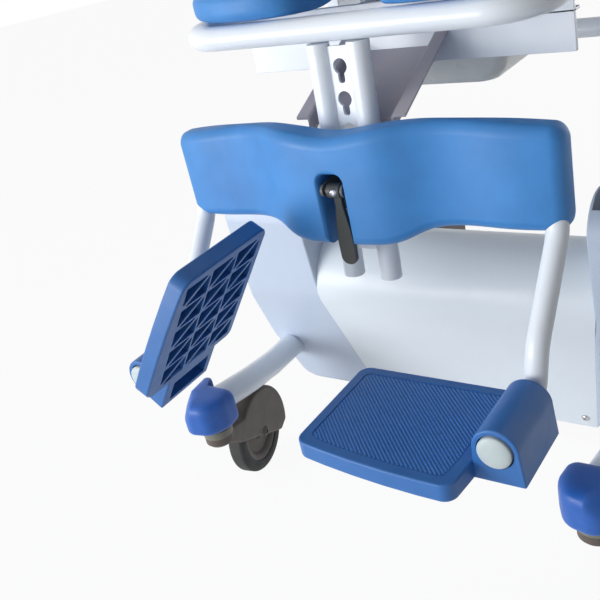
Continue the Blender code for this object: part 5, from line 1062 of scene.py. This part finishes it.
def build_calf_pad(edge):
    """The moulded calf pad with two calf recesses, the lever's slot and the rail's pocket."""
    rings = []
    stations = 130
    for station in range(-stations, stations + 1):
        x = PAD_HALF_WIDTH * station / stations
        inset = rounding(PAD_HALF_WIDTH - abs(x), PAD_END_RADIUS)
        front, rear, top, bottom = pad_shape(abs(x))
        rings.append(round_ring(x, front + inset, rear - inset, bottom + inset, top - inset,
                                max(edge - inset * 0.4, 0.004)))
    pad = skin("calf_foam", rings)
    slot = []
    # The slot's mouth flares towards the front
    for y, flare in ((-0.10, 0.005), (-0.0565, 0.005), (-0.0552, 0.0028), (-0.0530, 0.0011),
                     (-0.0500, 0.0003), (-0.0460, 0), (0.05, 0)):
        half, top, radius, below = PAD_SLOT_HALF + flare, PAD_SLOT_TOP + flare, 0.009 + flare, 0.38
        corners = [(-half, below, 0), (half, below, 0), (half, top, radius), (-half, top, radius)]
        slot.append([(a, y, b) for a, b in eased(corners)])
    wide, deep = CARRIAGE_HALF_WIDTH + PAD_GAP, CARRIAGE_FRONT - PAD_GAP
    pocket = on_rail(box("pocket", (-wide, deep, -0.02), (wide, 0.05, CARRIAGE_TOP + PAD_GAP)))
    room = RAIL_HALF_SPACING + RAIL_RADIUS + PAD_GAP
    rail_room = on_rail(box("rail_room", (-room, -RAIL_RADIUS - PAD_GAP, -0.02), (room, 0.05, 0.3)))
    grooves = []
    for side in (-1, 1):
        path = [Vector((side * p.x, p.y, p.z)) for p in foot_tube_path(0.02)]
        grooves.append(tube("groove", path, FOOT_TUBE_RADIUS + SEAM))
    carve(pad, skin("slot", slot), pocket, rail_room, *grooves)
    pad = place(pad, "blue_foam", "leg_carriage", "calf_pad", smooth=40)


# Footplates


def plate_outline(inset=0.0):
    """The footplate's plan, with its bowed front edge, moved in by an inset."""
    low_x, high_x, rear = PLATE_INNER_X + inset, PLATE_OUTER_X - inset, PLATE_REAR - inset
    corners = [(high_x, rear, 0.010), (low_x, rear, 0.014), (low_x, PLATE_FRONT_INNER + inset, 0.016)]
    for share in (0.2, 0.4, 0.6, 0.8):
        x = PLATE_INNER_X + (PLATE_OUTER_X - 0.004 - PLATE_INNER_X) * share
        straight = PLATE_FRONT_INNER + (PLATE_FRONT_OUTER - PLATE_FRONT_INNER) * share
        corners.append((x, straight - PLATE_BOW * 4 * share * (1 - share) + inset, 0.12))
    corners.append((high_x - 0.004, PLATE_FRONT_OUTER + inset, 0.014))
    corners.append((high_x, BLOCK_FRONT, 0.02))
    return [(a, b) for a, b in eased([(x, y, max(r - inset * 0.5, 0.003)) for x, y, r in corners])]


def crossings(outline, start, direction):
    """Where a line crosses a closed outline, as distances along it."""
    normal = Vector((-direction.y, direction.x))
    found = []
    for index, point in enumerate(outline):
        a, b = Vector(point), Vector(outline[(index + 1) % len(outline)])
        side_a, side_b = (a - start).dot(normal), (b - start).dot(normal)
        if (side_a < 0) != (side_b < 0):
            hit = a.lerp(b, side_a / (side_a - side_b))
            found.append((hit - start).dot(direction))
    return sorted(found)


def tread_ridges(pitch, height):
    """Low ridges that run across the tread at 45 degrees, as closed bars with sloping sides."""
    field = plate_outline(PLATE_BORDER + 0.0008)
    direction, side = Vector((1, -1)).normalized(), Vector((1, 1)).normalized()
    floor = PLATE_TOP - TREAD_DEPTH
    work = bmesh.new()
    half = pitch * RIDGE_HALF_SHARE
    shoulder = height * 0.85
    section = ((-1, -SEAM), (-1, 0), (-0.55, shoulder), (0, height), (0.55, shoulder), (1, 0), (1, -SEAM))
    middle = Vector(((PLATE_INNER_X + PLATE_OUTER_X) / 2 - 0.0005, -0.155))
    for number in range(-60, 61):
        start = middle + side * pitch * number
        ends = crossings(field, start, direction)
        if len(ends) < 2 or ends[1] - ends[0] < RIDGE_SHORTEST:
            continue
        rings = []
        for distance in (ends[0] + half, ends[1] - half):
            spot = start + direction * distance
            rings.append([(*(spot + side * offset * half), floor + level) for offset, level in section])
        loft(work, rings)
    return new_object("ridges", work)


def rib_pockets():
    """The pockets between the ribs under the footplate, each halved by a diagonal rib."""
    bottom = PLATE_TOP - PLATE_THICKNESS
    low_x, high_x = PLATE_INNER_X + PLATE_RIM, PLATE_OUTER_X - PLATE_RIM
    low_y, high_y = PLATE_FRONT_INNER + PLATE_RIM * 0.6, PLATE_REAR - PLATE_RIM
    step_x, step_y = (high_x - low_x) / RIB_COLUMNS, (high_y - low_y) / RIB_ROWS
    half, skew = PLATE_RIB / 2, PLATE_RIB * 1.1
    pockets = []
    for column in range(RIB_COLUMNS):
        for row in range(RIB_ROWS):
            x0, y0 = low_x + column * step_x + half, low_y + row * step_y + half
            x1, y1 = x0 + step_x - PLATE_RIB, y0 + step_y - PLATE_RIB
            for corners in (((x0, y0), (x1 - skew, y0), (x0, y1 - skew)),
                            ((x1, y1), (x0 + skew, y1), (x1, y0 + skew))):
                line = eased([(a, b, 0.0015) for a, b in corners])
                pockets.append(slab("pocket", line, bottom - 0.01, PLATE_TOP - PLATE_SKIN, "Z"))
    return together("pockets", *pockets)


def build_footplates(pitch, height):
    """The footplates: ridged tread, soft rim, ribbed underside and hinge barrel; the right one is up."""
    x, z, bottom = FOOT_AXIS_X, FOOT_AXIS_Z, PLATE_TOP - PLATE_THICKNESS
    plate = soften(slab("plate", plate_outline(), bottom, PLATE_TOP, "Z"), 0.0024, 4, 50)
    root_x, root_z = PLATE_OUTER_X - 0.012, PLATE_TOP - 0.003
    line = [(root_x, bottom), (root_x, root_z), (x - BLOCK_RADIUS - 0.001, root_z),
            *arc((x, z), BLOCK_RADIUS, math.pi, 0, 36), (BLOCK_OUTER_X, bottom)]
    barrel = soften(slab("barrel", line, BLOCK_FRONT, BLOCK_REAR, "Y"), 0.0022, 4, 50, False)
    tread = slab("tread", plate_outline(PLATE_BORDER), PLATE_TOP - TREAD_DEPTH, PLATE_TOP + 0.01, "Z")
    before = BLOCK_FRONT - 0.01
    bore = rod("bore", (x, before, z), (x, BLOCK_REAR + 0.01, z), FOOT_TUBE_RADIUS + SEAM)
    recess = rod("recess", (x, before, z), (x, FOOT_AXLE_FRONT + SEAM, z), CAP_RADIUS + 0.0015)
    under = box("under", (x - 0.014, BLOCK_FRONT + 0.012, bottom - 0.01),
                (x + 0.018, BLOCK_REAR - 0.010, z - FOOT_TUBE_RADIUS - 0.006))
    carve(plate, tread, rib_pockets())
    carve(plate, barrel, operation="UNION")
    carve(plate, bore, recess, under)
    left = together("ridged_plate_left", plate, tread_ridges(pitch, height))
    right = reflected(left, "ridged_plate_right")
    hinge = Vector((-FOOT_AXIS_X, 0, FOOT_AXIS_Z))
    fold = Matrix.Translation(hinge) @ Matrix.Rotation(-RAISED_RIGHT, 4, "Y") @ Matrix.Translation(-hinge)
    place(left, "footplate_plastic", "footplate_left", "footplate_left")
    place(moved(right, fold), "footplate_plastic", "footplate_right", "footplate_right")


def build_axle_caps():
    """The domed caps on the front ends of the footplates' axles."""
    radius, crown = CAP_RADIUS, 0.0042
    rise = [(radius * math.sin(a), CAP_LENGTH - crown + crown * math.cos(a))
            for a in (math.pi / 2 * i / 12 for i in range(13))]
    groove = radius - 0.0008
    profile = [(0, CAP_LENGTH)] + rise[1:] + [(radius, 0.0035), (groove, 0.0030), (groove, 0.0020),
                                              (radius, 0.0015), (radius, 0), (0, 0)]
    cap = lathe("end_cap", profile, (FOOT_AXIS_X, FOOT_AXLE_FRONT - SEAM, FOOT_AXIS_Z), (0, -1, 0))
    place_pair(cap, "cap_plastic", "leg_carriage", "axle_cap", smooth=40)


# Back, arms and controls


def back_y(z):
    """The y of the back tubes at a height."""
    return SEAT_REAR_Y + (z - SEAT_TOP_Z - SEAM) * math.tan(BACK_RECLINE)


def build_back_frame():
    """The reclined back tubes with push handles, cross bars and armrest pins."""
    x, top_y = BACK_HALF_WIDTH, back_y(BACK_TOP_Z)
    path = eased([(x, SEAT_REAR_Y, SEAT_TOP_Z + SEAM, 0), (x, top_y, BACK_TOP_Z, 0.055),
                  (x, top_y + HANDLE_REACH, BACK_TOP_Z, 0)], False)
    half = [tube("upright", path, BACK_TUBE_RADIUS)]
    half.append(pin("armrest_pin", (x, ARMREST_X + 0.014), (back_y(ARMREST_Z), ARMREST_Z), 0.008))
    bars = [rod("bar", (-x, back_y(z), z), (x, back_y(z), z), CROSS_BAR_RADIUS)
            for z in (LOWER_BAR_Z, UPPER_BAR_Z)]
    place(both_sides("back_weldment", half, *bars), "white_powder_coat", "seat", "back_frame")


def build_grips():
    """The ribbed rubber grips on the push handles."""
    bore, outer = BACK_TUBE_RADIUS + SEAM, BACK_TUBE_RADIUS + GRIP_WALL
    low, high, centre = outer - 0.0012, outer - 0.0002, 0.0001
    profile = [(bore, 0.0), (outer - 0.0008, 0.0), (outer, 0.0010), (outer, 0.006)]
    for rib in range(GRIP_RIBS):
        start = 0.008 + rib * GRIP_RIB_PITCH
        profile += [(low, start), (low, start + 0.0016), (high, start + 0.0024), (high, start + 0.0042)]
    length = GRIP_LENGTH
    profile += [(outer, 0.068), (outer, length - 0.005), (outer - 0.0015, length - 0.0015),
                (outer - 0.005, length), (centre, length), (centre, length - GRIP_END),
                (bore, length - GRIP_END)]
    start = back_y(BACK_TOP_Z) + HANDLE_REACH + 0.006 - length
    grip = lathe("ribbed_grip", profile, (BACK_HALF_WIDTH, start, BACK_TOP_Z), (0, 1, 0))
    place_pair(grip, "lever_plastic", "seat", "hand_grip")


def back_pad_frame():
    """The back pad's middle, its normal towards the tubes, its up direction and half height."""
    normal = Vector((0, math.cos(BACK_RECLINE), -math.sin(BACK_RECLINE)))
    up = Vector((0, math.sin(BACK_RECLINE), math.cos(BACK_RECLINE)))
    z = (BACK_PAD_LOW + BACK_PAD_HIGH) / 2
    centre = Vector((0, back_y(z), z)) - normal * (BACK_TUBE_RADIUS + 0.001 + BACK_PAD_THICKNESS / 2)
    return centre, normal, up, (BACK_PAD_HIGH - BACK_PAD_LOW) / 2


def build_back_pad(welt):
    """The upholstered back: a cover blown up over its foam, with piping and two sewn seams."""
    centre, normal, up, height = back_pad_frame()
    width, thick = BACK_PAD_HALF_WIDTH - COVER_INSET, BACK_PAD_THICKNESS / 2 - COVER_INSET
    low, high, corner = -height + COVER_INSET, height - COVER_INSET, 0.030
    outline = eased([(-width, low, corner), (width, low, corner),
                     (width, high, corner), (-width, high, corner)])
    rings = []
    for share, shrink in ((-1, 0.012), (-0.8, 0.003), (0, 0), (0.8, 0.003), (1, 0.012)):
        narrower, shorter = 1 - shrink / width, 1 - shrink / height
        ring = []
        for a, b in outline:
            bow = 0.010 * (a / width) ** 2
            depth = normal * (share * thick + 0.004 - bow * 0.8)
            ring.append(centre + Vector((a * narrower, 0, 0)) + up * b * shorter + depth)
        rings.append(ring)
    pad = skin("back_cushion", rings)
    remesh = pad.modifiers.new("remesh", "REMESH")
    remesh.mode, remesh.voxel_size = "VOXEL", COVER_GRID
    settle(pad)
    inflate(pad, centre, normal, up, thick)
    finer = pad.modifiers.new("finer", "SUBSURF")
    finer.levels = finer.render_levels = 1
    settle(pad)
    work = bmesh.new()
    work.from_mesh(pad.data)
    tree = BVHTree.FromBMesh(work)
    work.free()
    welt_line = []
    for a, b in outline:
        out = (Vector((a, 0, 0)) + up * b).normalized()
        origin = centre + Vector((a, 0, 0)) + up * b + normal * (thick * 0.55) + out * 0.05
        hit = tree.ray_cast(origin, -out)[0]
        if hit:
            welt_line.append(hit - out * welt * 0.35)
    piping = tube("back_piping", welt_line[::2], welt, True)
    stitches = stitch_rows(tree, centre, normal, up, width)
    pad = place(pad, "blue_foam", "seat", "back_pad", look="coated_fabric", smooth=60)
    place(piping, "blue_foam", "seat", look="coated_fabric", smooth=60)
    place(stitches, "blue_foam", "seat", look="collar", smooth=60)


def stitch_rows(tree, centre, normal, up, width):
    """Short thread stitches along the two sewn seams on the pad's front."""
    stitches = []
    count, half_length, thread, tip = 46, 0.0026, 0.0004, 0.0003
    for level in COVER_SEAMS:
        for index in range(count):
            x = (index - (count - 1) / 2) * 2 * (width - 0.022) / count
            ends = []
            for offset in (-half_length, half_length):
                origin = centre + Vector((x + offset, 0, 0)) + up * level - normal * 0.1
                hit = tree.ray_cast(origin, normal)[0]
                if hit:
                    ends.append(hit - normal * 0.0002)
            if len(ends) == 2:
                way = ends[1] - ends[0]
                profile = [(0, 0), (thread, tip), (thread, way.length - tip), (0, way.length)]
                stitches.append(lathe("stitch", profile, ends[0], way, 8))
    return together("back_stitches", *stitches)


def inflate(pad, centre, normal, up, thick):
    """Blow the cover up over its foam with the back and the sewn seams held, moving no point far."""
    held = pad.vertex_groups.new(name="held")
    rest = [vert.co.copy() for vert in pad.data.vertices]
    for index, co in enumerate(rest):
        offset = co - centre
        level, depth = offset.dot(up), offset.dot(normal)
        near_seam = min(abs(level - seam) for seam in COVER_SEAMS) < 0.0032
        sewn = depth < 0 and near_seam and abs(offset.x) < COVER_SEAM_REACH
        if depth > thick * 0.75 or sewn:
            held.add([index], 1.0, "REPLACE")
    cloth = pad.modifiers.new("cloth", "CLOTH")
    cloth.settings.use_pressure = True
    cloth.settings.uniform_pressure_force = 4.0
    cloth.settings.vertex_group_mass = "held"
    cloth.settings.effector_weights.gravity = 0.0
    scene = bpy.context.scene
    cloth.point_cache.frame_start, cloth.point_cache.frame_end = 1, PUFF_FRAMES
    for number in range(1, PUFF_FRAMES + 1):
        scene.frame_set(number)
    settle(pad)
    for vert, before in zip(pad.data.vertices, rest):
        shift = vert.co - before
        if shift.length > PUFF_LIMIT:
            vert.co = before + shift.normalized() * PUFF_LIMIT
    pad.vertex_groups.clear()
    scene.frame_set(1)


def build_armrests():
    """The flip-up armrest tubes with their hubs, and their moulded pads."""
    x, y, z = ARMREST_X, back_y(ARMREST_Z), ARMREST_Z
    path = eased([(x, y - 0.008, z, 0), (x, ARMREST_FRONT_Y, z, 0.022),
                  (x, ARMREST_FRONT_Y - 0.012, z - 0.032, 0)], False)
    arm = tube("arm_tube", path, ARMREST_TUBE_RADIUS)
    carve(arm, pin("hub", (x - 0.010, x + 0.010), (y, z), 0.016), operation="UNION")
    carve(arm, pin("bore", (x - 0.02, x + 0.02), (y, z), 0.0083))
    arm.name = "arm_tube"
    place_pair(arm, "white_powder_coat", "armrest", "armrest")
    base = z + ARMREST_TUBE_RADIUS + SEAM
    low, high = ARM_PAD_Y
    rings = []
    stations = 60
    for station in range(stations + 1):
        along = low + (high - low) * (station / stations)
        inset = rounding(min(along - low, high - along), ARM_PAD_END_RADIUS)
        half_width, half_height = ARM_PAD_HALF_WIDTH - inset, (ARM_PAD_HEIGHT - inset * 0.7) / 2
        rings.append([(x + half_width * across, along, base + half_height * (1 + up))
                      for across, up, _ in cushion_ring(36, 2.5, 6)])
    pads = place_pair(skin("arm_foam", rings), "blue_foam", "armrest", "arm_pad", smooth=60)


def build_controls():
    """The carer's control panel with its four push buttons, marked with plain arrows."""
    z, radius = UPPER_BAR_Z, BUTTON_RADIUS
    front = back_y(z) + CROSS_BAR_RADIUS + SEAM
    back = front + PANEL_DEPTH
    low, high, wide, corner = z - PANEL_HALF_HEIGHT, z + PANEL_HALF_HEIGHT, PANEL_HALF_WIDTH, 0.007
    line = eased([(-wide, low, corner), (wide, low, corner), (wide, high, corner), (-wide, high, corner)])
    case = soften(slab("panel_case", line, front, back, "Y"), 0.0025, 4, 50)
    profile = [(0, 0), (radius, 0), (radius, 0.0046), (radius - 0.0008, 0.0058), (radius * 0.6, 0.0056),
               (0, 0.0054)]
    for index in range(BUTTON_COUNT):
        x = (index - (BUTTON_COUNT - 1) / 2) * BUTTON_PITCH
        carve(case, rod("pocket", (x, back - BUTTON_POCKET, z), (x, back + 0.01, z), radius + SEAM))
        foot = (x, back - BUTTON_POCKET + 0.0024, z)
        button = lathe("push_button_%d" % (index + 1), profile, foot, (0, 1, 0))
        body = "button_%d" % (index + 1)
        place(button, "cap_plastic", body, "control_" + body)
        # The arrows point down and up in turn
        way = 1 if index % 2 else -1
        arrow = [(x - 0.0036, z - way * 0.0022), (x + 0.0036, z - way * 0.0022), (x, z + way * 0.0038)]
        mark = slab("button_arrow_%d" % (index + 1), arrow, back + 0.0016, back + 0.0022, "Y")
        place(mark, "cap_plastic", body, look="lever_plastic")
    case.name = "control_case"
    place(case, "case_plastic", "seat", "control_panel")


# Stage


def build_stage():
    """The camera, the lamps, the world and the pale floor."""
    scene = bpy.context.scene
    lens = bpy.data.cameras.new("camera")
    # 859 pixels of focal length on a 600 pixel wide picture, on a sensor 36 mm wide
    lens.lens, lens.sensor_width = 859 / 600 * 36, 36
    camera = bpy.data.objects.new("camera", lens)
    # The directions that were solved from the photograph
    right, up, back = (0.8119, 0.5467, -0.2049), (-0.0975, 0.4730, 0.8757), (0.5757, -0.6909, 0.4373)
    spot = (0.515, -0.764 - ORIGIN_Y, 0.800)
    camera.matrix_world = Matrix([(right[i], up[i], back[i], spot[i]) for i in range(3)] + [(0, 0, 0, 1)])
    scene.collection.objects.link(camera)
    scene.camera = camera
    aim = Vector((0.0, 0.0, 0.42))
    for name, start, size, watts in LAMPS:
        lamp = bpy.data.lights.new(name, "AREA")
        lamp.shape, lamp.size, lamp.energy = "DISK", size, watts
        light = bpy.data.objects.new(name, lamp)
        light.location = start
        light.rotation_euler = (aim - Vector(start)).to_track_quat("-Z", "Y").to_euler()
        scene.collection.objects.link(light)
    light_world(scene)
    floor = slab("floor", arc((0, 0), 9.0, 0, 2 * math.pi, 64)[:-1], -0.02, -0.0005, "Z")
    floor.data.materials.append(floor_material())
    scene.view_settings.view_transform = "Standard"


def seen(tree):
    """A socket that is 1 for rays from the camera and through or off gloss and glass."""
    rays = add(tree, "ShaderNodeLightPath").outputs
    result = rays["Is Camera Ray"]
    for kind in ("Is Glossy Ray", "Is Transmission Ray"):
        result = add(tree, "ShaderNodeMath", links={0: result, 1: rays[kind]}, operation="MAXIMUM").outputs[0]
    return result


def light_world(scene):
    """White where it is seen; on the object, a broad soft light from the front left and low."""
    world = bpy.data.worlds.new("studio")
    world.use_nodes = True
    tree = world.node_tree
    tree.nodes.clear()
    way = add(tree, "ShaderNodeTexCoord").outputs["Generated"]
    facing = add(tree, "ShaderNodeVectorMath", {1: (-0.66, -0.75, 0.06)}, {0: way}, operation="DOT_PRODUCT")
    front = add(tree, "ShaderNodeMapRange", {"From Min": -0.15}, {"Value": facing.outputs["Value"]})
    lobe = add(tree, "ShaderNodeMath", {1: 2.0}, {0: front.outputs["Result"]}, operation="POWER")
    level = add(tree, "ShaderNodeMath", {1: 1.78, 2: 0.09}, {0: lobe.outputs[0]}, operation="MULTIPLY_ADD")
    cool = (0.95, 0.97, 1.0, 1)
    soft = add(tree, "ShaderNodeBackground", {"Color": cool}, {"Strength": level.outputs[0]})
    white = add(tree, "ShaderNodeBackground", {"Color": (1, 1, 1, 1), "Strength": 1.0})
    mix = add(tree, "ShaderNodeMixShader", links={0: seen(tree), 1: soft.outputs[0], 2: white.outputs[0]})
    add(tree, "ShaderNodeOutputWorld", links={"Surface": mix.outputs[0]})
    scene.world = world


def floor_material():
    """A pale matt floor that is nearly white where it is seen and still takes the object's shadow."""
    made = bpy.data.materials.new("pale_floor")
    made.use_nodes = True
    tree = made.node_tree
    tree.nodes.clear()
    matt = add(tree, "ShaderNodeBsdfDiffuse", {"Color": (0.80, 0.80, 0.80, 1)})
    white = add(tree, "ShaderNodeEmission", {"Color": (1, 1, 1, 1), "Strength": 1.0})
    share = add(tree, "ShaderNodeMath", {1: 0.93}, {0: seen(tree)}, operation="MULTIPLY")
    mix = add(tree, "ShaderNodeMixShader",
              links={0: share.outputs[0], 1: matt.outputs[0], 2: white.outputs[0]})
    add(tree, "ShaderNodeOutputMaterial", links={"Surface": mix.outputs[0]})
    return made


# Operators


class CHAIR_OT_finishes(bpy.types.Operator):
    """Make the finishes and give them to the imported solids"""
    bl_idname = "chair.finishes"
    bl_label = "Finishes"

    def execute(self, context):
        LOOKS.update(make_materials(context.scene.chair_colours))
        for part in frame["record"]["subparts"]:
            node = frame["nodes"][part["node"]]
            for slot in node.material_slots:
                slot.link = "OBJECT"
                slot.material = LOOKS[part["material_slot"]]
        return {"FINISHED"}


class CHAIR_OT_base(bpy.types.Operator):
    """Build the welded base and its rubber caps"""
    bl_idname = "chair.base"
    bl_label = "Base frame and bumpers"

    def execute(self, context):
        build_base_frame()
        build_bumpers()
        return {"FINISHED"}


class CHAIR_OT_housing(bpy.types.Operator):
    """Build the barrel housing and the two side shells"""
    bl_idname = "chair.housing"
    bl_label = "Barrel and side shells"

    def execute(self, context):
        build_barrel()
        build_side_shells(context.scene.chair_sizes.shell_edge)
        return {"FINISHED"}


class CHAIR_OT_casters(bpy.types.Operator):
    """Build the four casters and the brake pedals"""
    bl_idname = "chair.casters"
    bl_label = "Casters and brakes"

    def execute(self, context):
        build_casters()
        build_brake_pedals()
        return {"FINISHED"}


class CHAIR_OT_lift(bpy.types.Operator):
    """Build the lift arms and the seat carrier"""
    bl_idname = "chair.lift"
    bl_label = "Lift arms and carrier"

    def execute(self, context):
        build_lift_arms()
        build_carrier()
        return {"FINISHED"}


class CHAIR_OT_seat(bpy.types.Operator):
    """Build the seat frame, the pan and the horseshoe pad"""
    bl_idname = "chair.seat"
    bl_label = "Seat, pan and pad"

    def execute(self, context):
        build_seat_frame()
        build_pan()
        build_seat_pad()
        return {"FINISHED"}


class CHAIR_OT_leg_rail(bpy.types.Operator):
    """Build the leg rail and the channel that braces it"""
    bl_idname = "chair.leg_rail"
    bl_label = "Leg rail and bracket"

    def execute(self, context):
        build_leg_rail()
        build_bracket()
        return {"FINISHED"}


class CHAIR_OT_calf_pad(bpy.types.Operator):
    """Build the calf pad and its release lever"""
    bl_idname = "chair.calf_pad"
    bl_label = "Calf pad and lever"

    def execute(self, context):
        build_calf_pad(context.scene.chair_sizes.pad_edge)
        build_lever()
        return {"FINISHED"}


class CHAIR_OT_footrests(bpy.types.Operator):
    """Build the footrest tubes, the footplates and their caps"""
    bl_idname = "chair.footrests"
    bl_label = "Footrests"

    def execute(self, context):
        sizes = context.scene.chair_sizes
        build_foot_tubes()
        build_footplates(sizes.tread_pitch, sizes.tread_height)
        build_axle_caps()
        return {"FINISHED"}


class CHAIR_OT_back(bpy.types.Operator):
    """Build the back frame, its grips and the upholstered back"""
    bl_idname = "chair.back"
    bl_label = "Back"

    def execute(self, context):
        build_back_frame()
        build_grips()
        build_back_pad(context.scene.chair_sizes.welt)
        return {"FINISHED"}


class CHAIR_OT_arms(bpy.types.Operator):
    """Build the armrests and the carer's control panel"""
    bl_idname = "chair.arms"
    bl_label = "Armrests and controls"

    def execute(self, context):
        build_armrests()
        build_controls()
        return {"FINISHED"}


class CHAIR_OT_stage(bpy.types.Operator):
    """Set up the camera, the lamps and the floor"""
    bl_idname = "chair.stage"
    bl_label = "Stage"

    def execute(self, context):
        build_stage()
        return {"FINISHED"}


OPERATORS = (CHAIR_OT_finishes, CHAIR_OT_base, CHAIR_OT_housing, CHAIR_OT_casters, CHAIR_OT_lift,
             CHAIR_OT_seat, CHAIR_OT_leg_rail, CHAIR_OT_calf_pad, CHAIR_OT_footrests, CHAIR_OT_back,
             CHAIR_OT_arms, CHAIR_OT_stage)


class CHAIR_PT_panel(bpy.types.Panel):
    """Lists the chair's colours, sizes and pieces"""
    bl_idname = "CHAIR_PT_panel"
    bl_label = "Shower Commode Chair"
    bl_space_type = "VIEW_3D"
    bl_region_type = "UI"
    bl_category = "Chair"

    def draw(self, context):
        for group in (context.scene.chair_colours, context.scene.chair_sizes):
            for name in group.__annotations__:
                self.layout.prop(group, name)
        for operator in OPERATORS:
            self.layout.operator(operator.bl_idname)


CLASSES = (ChairColours, ChairSizes, *OPERATORS, CHAIR_PT_panel)


def register():
    for made in CLASSES:
        bpy.utils.register_class(made)
    bpy.types.Scene.chair_colours = PointerProperty(type=ChairColours)
    bpy.types.Scene.chair_sizes = PointerProperty(type=ChairSizes)


def unregister():
    del bpy.types.Scene.chair_sizes
    del bpy.types.Scene.chair_colours
    for made in reversed(CLASSES):
        bpy.utils.unregister_class(made)


def main():
    """Build every piece in turn."""
    register()
    for name in ("finishes", "base", "housing", "casters", "lift", "seat", "leg_rail", "calf_pad",
                 "footrests", "back", "arms", "stage"):
        getattr(bpy.ops.chair, name)()


if __name__ == "__main__":
    main()
